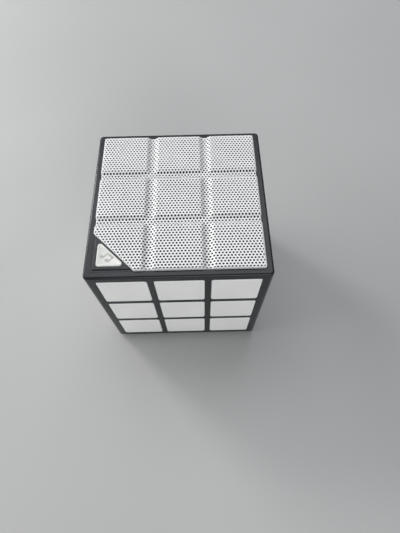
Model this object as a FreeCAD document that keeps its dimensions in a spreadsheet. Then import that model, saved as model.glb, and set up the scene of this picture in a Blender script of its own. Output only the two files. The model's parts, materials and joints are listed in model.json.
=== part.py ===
import FreeCAD, Part
import math
import os
from types import SimpleNamespace
import Sketcher

# Portable cube speaker: a 3 x 3 lattice frame with light panels on four sides,
# a perforated grille on top and a full-range driver firing up through it.
# Millimetres, +Z up, the front faces -Y, origin under the middle of the feet.

V = FreeCAD.Vector
doc = FreeCAD.newDocument("cube_speaker")

# ---------------------------------------------------------------- dimensions

DIMENSIONS = [
    # the lattice frame
    ("cube_side", 80.0), ("rim_top", 80.0), ("wall", 3.0), ("frame_low", 2.0),
    ("corner_round", 2.0), ("rim_round", 1.0),
    ("ledge_low", 76.0), ("ledge_high", 77.2), ("ledge_in", 1.5),
    # the tiles and what lights them
    ("tile", 21.7), ("tile_gap", 2.95), ("tile_low", 4.9), ("tile_round", 1.2),
    ("tile_edge_round", 0.35), ("tile_recess", 0.05), ("window_play", 0.08),
    ("window_round", 0.25),
    ("panel_skin", 1.2), ("panel_margin", 0.3),
    ("light_depth", 4.5), ("light_low", 4.2), ("light_high", 75.9),
    ("light_rib", 0.8), ("mitre_play", 0.1),
    ("led_board_thick", 1.0), ("led_board_half", 30.1),
    ("led_side", 3.5), ("led_thick", 0.8),
    # the deck and what sits on it
    ("deck_play", 0.1), ("deck_top", 78.8), ("driver_opening", 22.4),
    ("driver_ring_out", 27.4), ("driver_ring_low", 74.3),
    ("pad_top", 80.5), ("pad_inset", 0.8), ("pad_edge_round", 0.35),
    ("corner_cut", 24.4), ("pad_gap", 0.25),
    ("badge_corner", 5.4), ("badge_leg", 12.45), ("badge_round", 1.1),
    ("badge_floor", 80.3), ("badge_top", 81.0), ("badge_edge_round", 0.25),
    ("badge_play", 0.1),
    # the grille and the cloth under it
    ("grille_top", 81.8), ("grille_sheet", 0.6), ("grille_round", 1.2),
    ("groove_at", 12.7), ("groove_wide", 5.8), ("groove_floor", 2.6),
    ("groove_deep", 1.2), ("rib_spare", 0.24), ("scrim_half", 35.4), ("scrim_thick", 0.2),
    # the loudspeaker driver
    ("flange_top", 73.8), ("flange_thick", 1.0), ("flange_out", 27.0),
    ("surround_out", 24.0), ("roll_out", 22.0), ("roll_in", 17.6), ("roll_thick", 0.4),
    ("lip_in", 16.4), ("gasket_in", 24.1), ("gasket_thick", 0.5),
    ("lip_gap", 0.1), ("lip_bevel", 0.3),
    ("cone_neck", 10.35), ("cone_low", 66.0), ("cone_thick", 0.5), ("neck_high", 1.4),
    ("former_sunk", 1.2), ("cap_base", 1.5),
    ("cap_rise", 3.2), ("cap_thick", 0.3), ("cap_overlap", 0.05),
    ("vent_wide", 12.0), ("vent_margin", 1.0),
    ("strip_gap", 1.7), ("strip_thick", 1.2), ("strip_half", 4.0), ("strip_drop", 2.0),
    ("tag_reach", 3.9), ("tag_drop", 1.2), ("tag_apart", 2.2), ("tag_wide", 1.2),
    ("tag_long", 1.5), ("tag_thick", 0.4), ("former_in", 9.7), ("former_out", 9.95),
    ("former_low", 54.5), ("coil_out", 10.3), ("coil_low", 55.5), ("coil_high", 61.5),
    ("spider_at", 63.4), ("spider_thick", 0.4), ("spider_out", 19.0), ("spider_wave", 0.9),
    ("basket_seat_in", 17.2), ("basket_thick", 1.0), ("basket_wall_top", 22.5),
    ("basket_wall_foot", 19.6), ("basket_foot", 3.0),
    ("plate_high", 60.5), ("plate_thick", 2.0), ("plate_in", 10.8), ("plate_out", 20.0),
    ("magnet_in", 12.5), ("magnet_out", 22.0), ("magnet_thick", 8.0),
    ("pole_round", 9.2), ("yoke_thick", 3.0),
    # the sealed chamber behind the driver
    ("chamber_half", 30.2), ("chamber_wall", 1.8), ("chamber_low", 36.0),
    ("chamber_high", 76.4), ("post_at", 26.0), ("post_round", 3.2), ("pilot_round", 1.1),
    ("post_low", 3.2), ("standoff_x", 17.0), ("standoff_y", 24.0),
    ("standoff_round", 2.4), ("small_pilot", 0.8), ("grommet_x", 25.2), ("lead_jog", 2.4),
    ("grommet_round", 2.0), ("grommet_lip", 0.9), ("grommet_end", 0.8), ("grommet_bore", 1.25),
    ("standoff_root", 0.5),
    # the main board
    ("board_low", 28.0), ("board_thick", 1.6), ("board_half", 30.0), ("board_play", 0.3),
    ("radio_x", -8.0), ("radio_y", -22.0), ("radio_wide", 16.0), ("radio_long", 13.0),
    ("radio_sheet", 0.8), ("radio_can", 1.6), ("can_margin", 1.0), ("antenna", 4.0),
    ("amp_x", 8.0), ("amp_y", -3.0), ("amp_wide", 7.0), ("amp_long", 6.0), ("amp_thick", 1.0),
    ("coil_x", 15.0), ("coil_y", 9.0), ("coil_side", 6.0), ("coil_thick", 3.0),
    ("coil_round", 1.0),
    ("socket_long", 6.0), ("socket_wide", 4.0), ("socket_high", 3.2),
    ("lead_rise", 10.0), ("lead_bend", 2.0), ("lead_round", 0.5),
    ("battery_lead_apart", 1.0), ("speaker_lead_apart", 0.6),
    # the base, feet and battery
    ("base_low", 0.8), ("base_inset", 0.5), ("plug_play", 0.15), ("plug_top", 3.2),
    ("foot_at", 31.0), ("foot_round", 4.5), ("foot_recess", 0.6), ("base_round", 1.2),
    ("foot_play", 0.05), ("foot_edge_round", 0.3),
    ("battery_x", 42.0), ("battery_y", 34.0), ("battery_thick", 8.5),
    ("battery_back", 11.0), ("battery_tape", 0.3), ("cage_wall", 1.2), ("cage_rise", 4.0),
    ("cell_round", 1.2), ("cage_play", 0.3), ("cage_gap", 10.0), ("tape_margin", 2.0),
    # the screws
    ("screw_head", 2.2), ("screw_head_thick", 0.8), ("screw_long", 11.0),
    ("seat_play", 0.1), ("deck_seat_deep", 0.8), ("head_sunk", 0.2), ("pilot_deep", 13.0),
    ("small_head", 1.6), ("small_head_thick", 1.0), ("small_screw_long", 3.6),
    ("small_pilot_spare", 0.4),
    # the connector and control panel at the rear
    ("io_skin", 2.4), ("io_edge_round", 0.35), ("io_rim", 1.1), ("io_flange_play", 0.15),
    ("io_flange_trim", 0.5), ("io_board_front", 32.0), ("io_board_thick", 1.2),
    ("io_board_margin", 0.3), ("io_board_foot", 0.3), ("io_board_head", 0.1),
    ("button_round", 2.5), ("button_play", 0.08), ("button_pitch", 6.4),
    ("button_rise", 6.3), ("button_flange", 3.0), ("button_flange_thick", 0.8),
    ("button_travel", 0.35), ("button_dish", 0.1), ("button_flange_play", 0.05),
    ("key_edge_round", 0.3),
    ("tact_side", 4.5), ("tact_deep", 2.4), ("plunger_round", 0.95),
    ("plunger_play", 0.12), ("plunger_deep", 0.6),
    ("stem_round", 1.2),
    ("slider_x", 4.2), ("slider_rise", -0.4), ("slider_travel", 2.0),
    ("knob_wide", 3.0), ("knob_high", 2.4), ("knob_play", 0.15), ("knob_recess", 0.3),
    ("slider_body_x", 9.0), ("slider_body_z", 3.6), ("slider_body_y", 3.4),
    ("shuttle_thick", 1.2), ("shuttle_x", 5.0), ("shuttle_rise", 1.0), ("shuttle_margin", 0.5),
    ("knob_stem_margin", 0.4), ("knob_root", 0.2),
    ("lens_x", -3.4), ("lens_round", 0.8), ("chip_side", 0.8), ("lens_low", 33.0),
    ("usb_x", 4.4), ("usb_rise", -6.3), ("usb_wide", 8.94), ("usb_high", 3.2),
    ("usb_shell", 0.3), ("usb_recess", 0.5), ("usb_play", 0.15),
    ("usb_tongue", 0.7), ("usb_tongue_wide", 6.7), ("usb_tongue_sunk", 0.8),
    ("usb_floor", 1.2), ("usb_end_flat", 0.05),
    ("jack_x", -5.6), ("jack_rise", -6.2), ("jack_bore", 1.8), ("jack_nose", 2.9),
    ("jack_body", 6.6), ("jack_deep", 12.0), ("jack_bore_deep", 11.0),
    ("jack_recess", 0.2), ("jack_play", 0.1), ("jack_step", 0.1),
]

sheet = doc.addObject("Spreadsheet::Sheet", "Dims")
for row, (alias, value) in enumerate(DIMENSIONS, start=1):
    sheet.set(f"A{row}", alias)
    sheet.set(f"B{row}", repr(value))
    sheet.setAlias(f"B{row}", alias)
doc.recompute()


class Dim:
    """A length that carries its value and the sheet expression behind it."""

    def __init__(self, value, text=None):
        self.value = float(value)
        self.text = f"({self.value!r})" if text is None else text

    def _join(self, other, value, sign, swap=False):
        first, second = (other, self) if swap else (self, other)
        return Dim(value, f"({first.text} {sign} {second.text})")

    def __add__(self, other):
        other = dim(other)
        return self._join(other, self.value + other.value, "+")

    def __radd__(self, other):
        return dim(other) + self

    def __sub__(self, other):
        other = dim(other)
        return self._join(other, self.value - other.value, "-")

    def __rsub__(self, other):
        return dim(other) - self

    def __mul__(self, other):
        other = dim(other)
        return self._join(other, self.value * other.value, "*")

    def __rmul__(self, other):
        return dim(other) * self

    def __truediv__(self, other):
        other = dim(other)
        return self._join(other, self.value / other.value, "/")

    def __neg__(self):
        return Dim(-self.value, f"(-1 * {self.text})")


def dim(value):
    return value if isinstance(value, Dim) else Dim(value)


S = SimpleNamespace(**{alias: Dim(value, f"Dims.{alias}") for alias, value in DIMENSIONS})

# what the driving dimensions give
half = S.cube_side / 2
inside = half - S.wall
pitch = S.tile + S.tile_gap
tiles_wide = 3 * S.tile + 2 * S.tile_gap
panel_back = inside - S.panel_skin
light_back = panel_back - S.light_depth
led_board_back = light_back - S.led_board_thick
deck_half = inside - S.deck_play
corner_sum = S.cube_side - S.corner_cut       # the corner is cut where x + y = -corner_sum
io_z = S.tile_low + S.tile / 2                # middle of the lowest row of tiles
io_half = S.tile / 2
board_high = S.board_low + S.board_thick
speaker_socket_x = S.grommet_x - S.lead_jog
OVER = 1.0            # how far a cutting tool runs past the face it opens
SPIDER_WAVES = 4
COLUMNS = (-1, 0, 1)
ROWS = (0, 1, 2)
SIDES = {"front": 0, "right": 90, "back": 180, "left": 270}

# ------------------------------------------------------------------- helpers


def bind(thing, **sizes):
    for name, size in sizes.items():
        thing.setExpression(name, dim(size).text)
    return thing


def place(thing, x=0, y=0, z=0):
    for axis, size in (("x", x), ("y", y), ("z", z)):
        thing.setExpression(f"Placement.Base.{axis}", dim(size).text)
    return thing


def box(name, x, y, z):
    """A block from the low to the high end of each pair."""
    thing = doc.addObject("Part::Box", name)
    bind(thing, Length=x[1] - x[0], Width=y[1] - y[0], Height=z[1] - z[0])
    return place(thing, x[0], y[0], z[0])


TURN = {
    "z": FreeCAD.Rotation(),
    "y": FreeCAD.Rotation(V(1, 0, 0), -90),
    "x": FreeCAD.Rotation(V(0, 1, 0), 90),
}


def rod(name, radius, low, high, at=(0, 0), axis="z"):
    """A cylinder from low to high along the axis, at the other two coordinates."""
    thing = doc.addObject("Part::Cylinder", name)
    thing.Placement.Rotation = TURN[axis]
    bind(thing, Radius=radius, Height=dim(high) - low)
    spot = {"z": (at[0], at[1], low), "y": (at[0], low, at[1]), "x": (low, at[0], at[1])}
    return place(thing, *spot[axis])


def fuse(name, *things):
    joined = doc.addObject("Part::MultiFuse", name)
    joined.Shapes = list(things)
    joined.Refine = True
    return joined


def group(name, things):
    compound = doc.addObject("Part::Compound", name)
    compound.Links = list(things)
    return compound


def cut(name, base, *tools):
    trimmed = doc.addObject("Part::Cut", name)
    trimmed.Base = base
    trimmed.Tool = tools[0] if len(tools) == 1 else fuse(f"{name}_tools", *tools)
    trimmed.Refine = True
    return trimmed


def common(name, first, second):
    shared = doc.addObject("Part::Common", name)
    shared.Base = first
    shared.Tool = second
    return shared


def rounded(name, base, radius, wanted):
    """Rounds the edges of base for which wanted(edge) is true."""
    base.recompute(True)
    picked = [i for i, edge in enumerate(base.Shape.Edges, start=1) if wanted(edge)]
    thing = doc.addObject("Part::Fillet", name)
    thing.Base = base
    thing.Edges = [(i, radius.value, radius.value) for i in picked]
    return thing


def ends(edge):
    return edge.Vertexes[0].Point, edge.Vertexes[-1].Point


def along(axis):
    """Picks straight edges that run along x, y or z."""
    others = [k for k in "xyz" if k != axis]

    def wanted(edge):
        a, b = ends(edge)
        still = all(abs(getattr(a, k) - getattr(b, k)) < 1e-6 for k in others)
        return still and a.distanceToPoint(b) > 1e-6

    return wanted


def level(axis, size):
    """Picks edges that lie wholly at one height along the axis."""
    def wanted(edge):
        lo = getattr(edge.BoundBox, f"{axis.upper()}Min")
        hi = getattr(edge.BoundBox, f"{axis.upper()}Max")
        return abs(lo - size.value) < 1e-6 and abs(hi - size.value) < 1e-6

    return wanted


def plane_sketch(body, name, role, offset=0):
    """A sketch on one of the body's own planes, moved along that plane's normal."""
    sketch = body.newObject("Sketcher::SketchObject", name)
    plane = next(o for o in body.Origin.OriginFeatures if o.Role == role)
    sketch.AttachmentSupport = [(plane, "")]
    sketch.MapMode = "FlatFace"
    sketch.setExpression("AttachmentOffset.Base.z", dim(offset).text)
    return sketch


def hold(sketch, kind, *where, size=None):
    if size is None:
        return sketch.addConstraint(Sketcher.Constraint(kind, *where))
    index = sketch.addConstraint(Sketcher.Constraint(kind, *where, size.value))
    sketch.setExpression(f"Constraints[{index}]", size.text)
    return index


def polygon(sketch, points):
    """A closed outline whose corners are all held by expressions."""
    points = [(dim(x), dim(y)) for x, y in points]
    first = sketch.GeometryCount
    count = len(points)
    for i, (x, y) in enumerate(points):
        nx, ny = points[(i + 1) % count]
        sketch.addGeometry(Part.LineSegment(V(x.value, y.value, 0), V(nx.value, ny.value, 0)))
    for i in range(count):
        hold(sketch, "Coincident", first + i, 2, first + (i + 1) % count, 1)
    for i, (x, y) in enumerate(points):
        if abs(x.value) < 1e-9:
            hold(sketch, "PointOnObject", first + i, 1, -2)
        else:
            hold(sketch, "DistanceX", -1, 1, first + i, 1, size=x)
        hold(sketch, "DistanceY", -1, 1, first + i, 1, size=y)


def rounded_square(sketch, cx, cy, side, radius):
    """A square with rounded corners, from four lines and four tangent arcs."""
    s, r = dim(side), dim(radius)
    cx, cy = dim(cx), dim(cy)
    x0, y0 = cx - s / 2, cy - s / 2
    a, b, q = x0.value, y0.value, r.value
    c, e = a + s.value, b + s.value
    first = sketch.GeometryCount
    lines = [((a + q, b), (c - q, b)), ((c, b + q), (c, e - q)),
             ((c - q, e), (a + q, e)), ((a, e - q), (a, b + q))]
    for p1, p2 in lines:
        sketch.addGeometry(Part.LineSegment(V(*p1, 0), V(*p2, 0)))
    centres = [(c - q, b + q, 270), (c - q, e - q, 0), (a + q, e - q, 90), (a + q, b + q, 180)]
    for x, y, start in centres:
        circle = Part.Circle(V(x, y, 0), V(0, 0, 1), q)
        sketch.addGeometry(Part.ArcOfCircle(circle, math.radians(start), math.radians(start + 90)))
    for i in range(4):
        hold(sketch, "Tangent", first + i, 2, first + 4 + i, 1)
        hold(sketch, "Tangent", first + 4 + i, 2, first + (i + 1) % 4, 1)
    for i, kind in enumerate(("Horizontal", "Vertical", "Horizontal", "Vertical")):
        hold(sketch, kind, first + i)
    for i in (5, 6, 7):
        hold(sketch, "Equal", first + 4, first + i)
    hold(sketch, "Radius", first + 4, size=r)
    hold(sketch, "DistanceY", -1, 1, first, 1, size=y0)
    hold(sketch, "DistanceX", -1, 1, first + 3, 1, size=x0)
    hold(sketch, "DistanceX", first + 3, 1, first + 1, 1, size=s)
    hold(sketch, "DistanceY", first, 1, first + 2, 1, size=s)


def feature(body, kind, name, sketch, **sizes):
    made = body.newObject(f"PartDesign::{kind}", name)
    made.Profile = sketch
    return bind(made, **sizes)


def soften(body, name, base, radius, wanted):
    """A fillet in a body, on the edges of base for which wanted(edge) is true."""
    doc.recompute()
    picked = [f"Edge{i}" for i, edge in enumerate(base.Shape.Edges, start=1) if wanted(edge)]
    made = body.newObject("PartDesign::Fillet", name)
    made.Base = (base, picked)
    return bind(made, Radius=radius)


def turned(name, *profiles):
    """A body of revolution about Z from closed (radius, height) outlines."""
    body = doc.addObject("PartDesign::Body", name)
    sketch = plane_sketch(body, f"{name}_profile", "XZ_Plane")
    for points in profiles:
        polygon(sketch, points)
    spun = body.newObject("PartDesign::Revolution", f"{name}_turned")
    spun.Profile = sketch
    spun.ReferenceAxis = (sketch, ["V_Axis"])
    spun.Angle = 360
    return body


def ring(r_in, r_out, z_low, z_high):
    """The outline of a plain ring, for turned()."""
    return [(r_in, z_low), (r_out, z_low), (r_out, z_high), (r_in, z_high)]


def prism(name, outline, low, high):
    """A body padded from a plan outline, from low to high."""
    body = doc.addObject("PartDesign::Body", name)
    sketch = plane_sketch(body, f"{name}_plan", "XY_Plane", low)
    polygon(sketch, outline)
    feature(body, "Pad", f"{name}_pad", sketch, Length=dim(high) - low)
    return body


def mirrored_spots(x, y):
    """The four places at plus and minus x and y."""
    x, y = dim(x), dim(y)
    return [(x, y), (-x, y), (-x, -y), (x, -y)]


NODES = []


def spun(name, thing, angle):
    """The thing turned about Z, with its own sizes left where they are."""
    turned_group = group(name, [thing])
    turned_group.Placement.Rotation = FreeCAD.Rotation(V(0, 0, 1), angle)
    return turned_group


def node(name, thing):
    thing.Label = name
    NODES.append(thing)
    return thing


# --------------------------------------------------------------- outer frame


def windows(sketch, skip=()):
    """The nine rounded squares of one side, in sketch coordinates (across, up)."""
    for row in ROWS:
        for column in COLUMNS:
            if (column, row) not in skip:
                yield (column * pitch, S.tile_low + S.tile / 2 + row * pitch)


def make_lattice_frame():
    body = doc.addObject("PartDesign::Body", "lattice")
    plan = plane_sketch(body, "lattice_plan", "XY_Plane", S.frame_low)
    for reach in (half, inside):
        polygon(plan, mirrored_spots(reach, reach))
    feature(body, "Pad", "lattice_walls", plan, Length=S.rim_top - S.frame_low)
    shelf = plane_sketch(body, "lattice_shelf_plan", "XY_Plane", S.ledge_low)
    for reach in (inside + S.wall / 2, inside - S.ledge_in):
        polygon(shelf, mirrored_spots(reach, reach))
    last = feature(body, "Pad", "lattice_shelf", shelf, Length=S.ledge_high - S.ledge_low)
    opening = S.tile + 2 * S.window_play
    for role in ("XZ_Plane", "YZ_Plane"):
        cutter = plane_sketch(body, f"lattice_windows_{role[:2].lower()}", role)
        for across, up in windows(cutter):
            rounded_square(cutter, across, up, opening, S.tile_round)
        last = feature(body, "Pocket", f"lattice_openings_{role[:2].lower()}", cutter)
        last.Type = "ThroughAll"
        last.SideType = "Symmetric"
    reach = half.value

    def outer_corner(edge):
        a, b = ends(edge)
        return along("z")(edge) and abs(abs(a.x) - reach) < 1e-6 and abs(abs(a.y) - reach) < 1e-6

    last = soften(body, "lattice_corners", last, S.corner_round, outer_corner)

    def outer_rim(edge):
        box_ = edge.BoundBox
        on_top = abs(box_.ZMin - S.rim_top.value) < 1e-6
        far = max(abs(box_.XMin), abs(box_.XMax), abs(box_.YMin), abs(box_.YMax))
        return on_top and far > reach - 1e-6

    last = soften(body, "lattice_rim", last, S.rim_round, outer_rim)

    def window_edge(edge):
        box_ = edge.BoundBox
        flat_x = abs(box_.XMax - box_.XMin) < 1e-6 and abs(abs(box_.XMin) - reach) < 1e-6
        flat_y = abs(box_.YMax - box_.YMin) < 1e-6 and abs(abs(box_.YMin) - reach) < 1e-6
        between = box_.ZMin > S.frame_low.value + 1 and box_.ZMax < S.ledge_high.value
        short = box_.ZMax - box_.ZMin < S.tile.value + 1
        return (flat_x or flat_y) and between and short

    soften(body, "lattice_window_edges", last, S.window_round, window_edge)
    node("lattice_frame", body)


# ---------------------------------------------------- lit sides of the lattice


def make_light_panel(side, angle):
    """A milky plate behind the lattice, with tiles that fill its windows."""
    skip = ((0, 0),) if side == "back" else ()
    body = doc.addObject("PartDesign::Body", f"panel_{side}")
    plate = plane_sketch(body, f"panel_{side}_plate_plan", "XZ_Plane", panel_back)
    reach = tiles_wide / 2 + S.panel_margin
    low, high = S.light_low + S.panel_margin, S.light_high
    outline = [(-reach, low), (reach, low), (reach, high), (-reach, high)]
    if skip:
        gap = io_half + S.tile_gap / 2
        top = S.tile_low + S.tile + S.tile_gap / 2
        outline[1:1] = [(-gap, low), (-gap, top), (gap, top), (gap, low)]
    polygon(plate, outline)
    feature(body, "Pad", f"panel_{side}_plate", plate, Length=S.panel_skin)
    raised = plane_sketch(body, f"panel_{side}_tile_plan", "XZ_Plane", inside)
    for across, up in windows(raised, skip):
        rounded_square(raised, across, up, S.tile, S.tile_round)
    tiles = feature(body, "Pad", f"panel_{side}_tiles", raised, Length=S.wall - S.tile_recess)
    face = -(half - S.tile_recess)
    soften(body, f"panel_{side}_edges", tiles, S.tile_edge_round, level("y", face))
    body.Placement.Rotation = FreeCAD.Rotation(V(0, 0, 1), angle)
    node(f"light_panel_{side}", body)


def make_light_baffle(side, angle):
    """A white grid that keeps each tile's light to itself, mitred at the corners."""
    body = doc.addObject("PartDesign::Body", f"baffle_{side}")
    out = panel_back - S.mitre_play
    back = out - S.light_depth
    ribs = plane_sketch(body, f"baffle_{side}_plan", "XY_Plane", S.light_low)
    for sign in (-1, 1):
        polygon(ribs, [(sign * out, -panel_back), (sign * back, -light_back),
                       (sign * (back - S.light_rib), -light_back),
                       (sign * (out - S.light_rib), -panel_back)])
        middle = sign * pitch / 2
        polygon(ribs, [(middle - S.light_rib / 2, -panel_back),
                       (middle + S.light_rib / 2, -panel_back),
                       (middle + S.light_rib / 2, -light_back),
                       (middle - S.light_rib / 2, -light_back)])
    last = feature(body, "Pad", f"baffle_{side}_ribs", ribs, Length=S.light_high - S.light_low)
    last.AllowMultiFace = True
    between = S.tile_low - S.tile_gap / 2 - S.light_rib / 2
    floors = [S.light_low, between + pitch, between + 2 * pitch, S.light_high - S.light_rib]
    for i, floor in enumerate(floors):
        shelf = plane_sketch(body, f"baffle_{side}_shelf_plan_{i}", "XY_Plane", floor)
        polygon(shelf, [(-out, -panel_back), (out, -panel_back),
                        (back, -light_back), (-back, -light_back)])
        feature(body, "Pad", f"baffle_{side}_shelf_{i}", shelf, Length=S.light_rib)
    if side == "back":
        bay = plane_sketch(body, "baffle_back_bay_plan", "XZ_Plane", 0)
        polygon(bay, io_bay_outline())
        pocket = feature(body, "Pocket", "baffle_back_bay", bay)
        pocket.Type = "ThroughAll"
        pocket.SideType = "Symmetric"
    body.Placement.Rotation = FreeCAD.Rotation(V(0, 0, 1), angle)
    node(f"light_baffle_{side}", body)


def io_bay_outline():
    """The opening that the connector bay takes from the rear lighting parts."""
    reach = pitch / 2 - S.light_rib / 2
    top = S.tile_low + S.tile + S.tile_gap / 2 - S.light_rib / 2
    return [(-reach, 0), (reach, 0), (reach, top), (-reach, top)]


def make_led_board(side, angle):
    reach = S.led_board_half
    board = box(f"led_sheet_{side}", (-reach, reach), (-light_back, -led_board_back),
                (S.light_low, S.light_high))
    if side == "back":
        (left, low), (right, _), (_, top), _ = io_bay_outline()
        bay = box("led_sheet_bay", (left, right), (-inside, 0), (low, top))
        board = cut("led_sheet_cut", board, bay)
    node(f"led_board_{side}", spun(f"led_sheet_at_{side}", board, angle))


def make_leds():
    sides = []
    for side, angle in SIDES.items():
        skip = ((0, 0),) if side == "back" else ()
        chips = []
        for i, (across, up) in enumerate(windows(None, skip)):
            reach = S.led_side / 2
            chips.append(box(f"led_{side}_{i}", (across - reach, across + reach),
                             (-(light_back + S.led_thick), -light_back),
                             (up - reach, up + reach)))
        row = group(f"leds_{side}", chips)
        row.Placement.Rotation = FreeCAD.Rotation(V(0, 0, 1), angle)
        sides.append(row)
    node("leds", group("led_chips", sides))


# ------------------------------------------------------- deck, badge, grille


def corner_outline(near, sum_):
    """A right triangle in the front left corner, near = distance from the axes."""
    far = near - (2 * near - sum_)
    return [(-near, -near), (-far, -near), (-near, -far)]


def cut_square(reach, sum_):
    """A square about the axis whose front left corner is cut off at 45 degrees."""
    far = sum_ - reach
    return [(-far, -reach), (reach, -reach), (reach, reach), (-reach, reach), (-reach, -far)]


def badge_outline(grow):
    """The nameplate's triangle, grown by a margin on every side."""
    near = half - S.badge_corner + grow
    sum_ = 2 * (half - S.badge_corner) - S.badge_leg - grow * math.sqrt(2)
    return corner_outline(near, sum_)


def make_deck():
    plate = box("deck_plate", (-deck_half, deck_half), (-deck_half, deck_half),
                (S.ledge_high, S.deck_top))
    boss = rod("deck_boss", S.driver_ring_out, S.driver_ring_low, S.ledge_high)
    cut_line = corner_sum + S.pad_gap * math.sqrt(2)
    step = prism("deck_step", corner_outline(deck_half, cut_line), S.deck_top, S.rim_top)
    pad = prism("deck_pad", corner_outline(deck_half - S.pad_inset, cut_line),
                S.deck_top, S.pad_top)
    top = level("z", S.pad_top)
    soft_pad = rounded("deck_pad_round", pad, S.pad_edge_round,
                       lambda edge: top(edge) and not on_hypotenuse(edge))
    recess = rounded("badge_recess_round",
                     prism("badge_recess", badge_outline(S.badge_play), S.badge_floor,
                           S.pad_top + OVER),
                     S.badge_round, along("z"))
    tools = [rod("deck_opening", S.driver_opening, S.driver_ring_low - OVER, S.deck_top + OVER), recess]
    tools += [rod(f"deck_pilot_{i}", S.small_pilot, S.driver_ring_low - OVER,
                  small_screw_tip(S.flange_top - S.flange_thick) + S.small_pilot_spare, spot)
              for i, spot in enumerate(driver_screw_spots())]
    for i, spot in enumerate(mirrored_spots(S.post_at, S.post_at)):
        tools.append(rod(f"deck_screw_hole_{i}", S.pilot_round, S.ledge_high - OVER,
                         S.deck_top + OVER, spot))
        tools.append(rod(f"deck_screw_seat_{i}", S.screw_head + S.seat_play,
                         S.deck_top - S.deck_seat_deep, S.deck_top + OVER, spot))
    node("top_deck", cut("deck", fuse("deck_solid", plate, boss, step, soft_pad), *tools))


def on_hypotenuse(edge):
    a, b = ends(edge)
    return abs((a.x + a.y) - (b.x + b.y)) < 1e-6


def make_nameplate():
    blank = rounded("nameplate_blank_round",
                    prism("nameplate_blank", badge_outline(0), S.badge_floor,
                          S.badge_top),
                    S.badge_round, along("z"))
    node("nameplate", rounded("nameplate_soft", blank, S.badge_edge_round,
                              level("z", S.badge_top)))


def groove_bars(name, widen, drop, reach):
    """The four crossing channels that divide the grille, as solid bars."""
    top_half = (S.groove_wide / 2) + widen
    floor_half = (S.groove_floor / 2) + widen
    top, floor = S.grille_top - drop, S.grille_top - drop - S.groove_deep
    rise = 1.0
    slope = (S.groove_wide - S.groove_floor) / 2 / S.groove_deep
    bars = []
    for role in ("XZ_Plane", "YZ_Plane"):
        body = doc.addObject("PartDesign::Body", f"{name}_{role[:2].lower()}")
        sketch = plane_sketch(body, f"{name}_{role[:2].lower()}_section", role)
        for sign in (-1, 1):
            middle = sign * S.groove_at
            up = top_half + slope * rise
            polygon(sketch, [(middle - floor_half, floor), (middle + floor_half, floor),
                             (middle + up, top + rise), (middle - up, top + rise)])
        pad = feature(body, "Pad", f"{name}_{role[:2].lower()}_pad", sketch, Length=2 * reach)
        pad.SideType = "Symmetric"
        pad.AllowMultiFace = True
        bars.append(body)
    return bars


def make_grille():
    reach, sum_ = deck_half, corner_sum
    skin = S.grille_sheet
    outer = rounded("grille_blank_round",
                    prism("grille_blank", cut_square(reach, sum_), S.deck_top, S.grille_top),
                    S.grille_round, along("z"))
    pressed = cut("grille_pressed", outer, *groove_bars("grille_groove", dim(0), dim(0), half))
    inner_sum = sum_ - skin * math.sqrt(2)
    hollow = prism("grille_hollow", cut_square(reach - skin, inner_sum),
                   S.deck_top - OVER, S.grille_top - skin)
    kept = groove_bars("grille_rib", S.rib_spare, skin, half)
    cavity = cut("grille_cavity", hollow, *kept)
    node("grille", cut("grille_shell", pressed, cavity))


def make_scrim():
    reach = S.scrim_half
    sum_ = corner_sum - (deck_half - reach) * math.sqrt(2)
    node("acoustic_cloth", prism("scrim", cut_square(reach, sum_), S.deck_top,
                                 S.deck_top + S.scrim_thick))


# ------------------------------------------------------------------- driver


def make_basket():
    """The pressed steel basket: flange, sloping wall, spider seat and foot."""
    skin = S.basket_thick
    flange_low = S.flange_top - S.flange_thick
    wall_top = S.basket_wall_top
    wall_foot = S.basket_wall_foot
    foot = wall_foot - S.basket_foot
    shell = turned("basket_shell", [
        (foot, S.plate_high), (wall_foot + skin, S.plate_high),
        (wall_foot + skin, S.spider_at), (wall_top + skin, flange_low),
        (S.flange_out, flange_low), (S.flange_out, S.flange_top),
        (wall_top, S.flange_top), (wall_top, flange_low),
        (wall_foot, S.spider_at), (wall_foot, S.spider_at - skin / 2),
        (S.basket_seat_in, S.spider_at - skin / 2), (S.basket_seat_in, S.spider_at - skin),
        (wall_foot, S.spider_at - skin), (wall_foot, S.plate_high + skin / 2),
        (foot, S.plate_high + skin / 2)])
    vent_half = S.vent_wide / 2
    vents = []
    for i in range(4):
        vent = box(f"basket_vent_{i}", (S.cone_neck, S.flange_out), (-vent_half, vent_half),
                   (S.spider_at + S.vent_margin, flange_low - S.vent_margin))
        vents.append(spun(f"basket_vent_at_{i}", vent, 90 * i))
    holes = [rod(f"basket_hole_{i}", S.small_pilot + S.seat_play,
                 flange_low - OVER, S.flange_top + OVER, spot)
             for i, spot in enumerate(driver_screw_spots())]
    node("driver_basket", cut("basket_cut", shell, *vents, *holes))


def driver_screw_spots():
    spot = (S.gasket_in + S.flange_out) / 2 * math.sqrt(0.5)
    return mirrored_spots(spot, spot)


def make_motor():
    plate_low = S.plate_high - S.plate_thick
    magnet_low = plate_low - S.magnet_thick
    node("driver_top_plate", turned("motor_plate", ring(S.plate_in, S.plate_out,
                                                        plate_low, S.plate_high)))
    node("driver_magnet", turned("motor_magnet", ring(S.magnet_in, S.magnet_out,
                                                      magnet_low, plate_low)))
    node("driver_yoke", turned("motor_yoke", [
        (0, magnet_low - S.yoke_thick), (S.magnet_out, magnet_low - S.yoke_thick),
        (S.magnet_out, magnet_low), (S.pole_round, magnet_low),
        (S.pole_round, S.plate_high), (0, S.plate_high)]))


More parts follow.
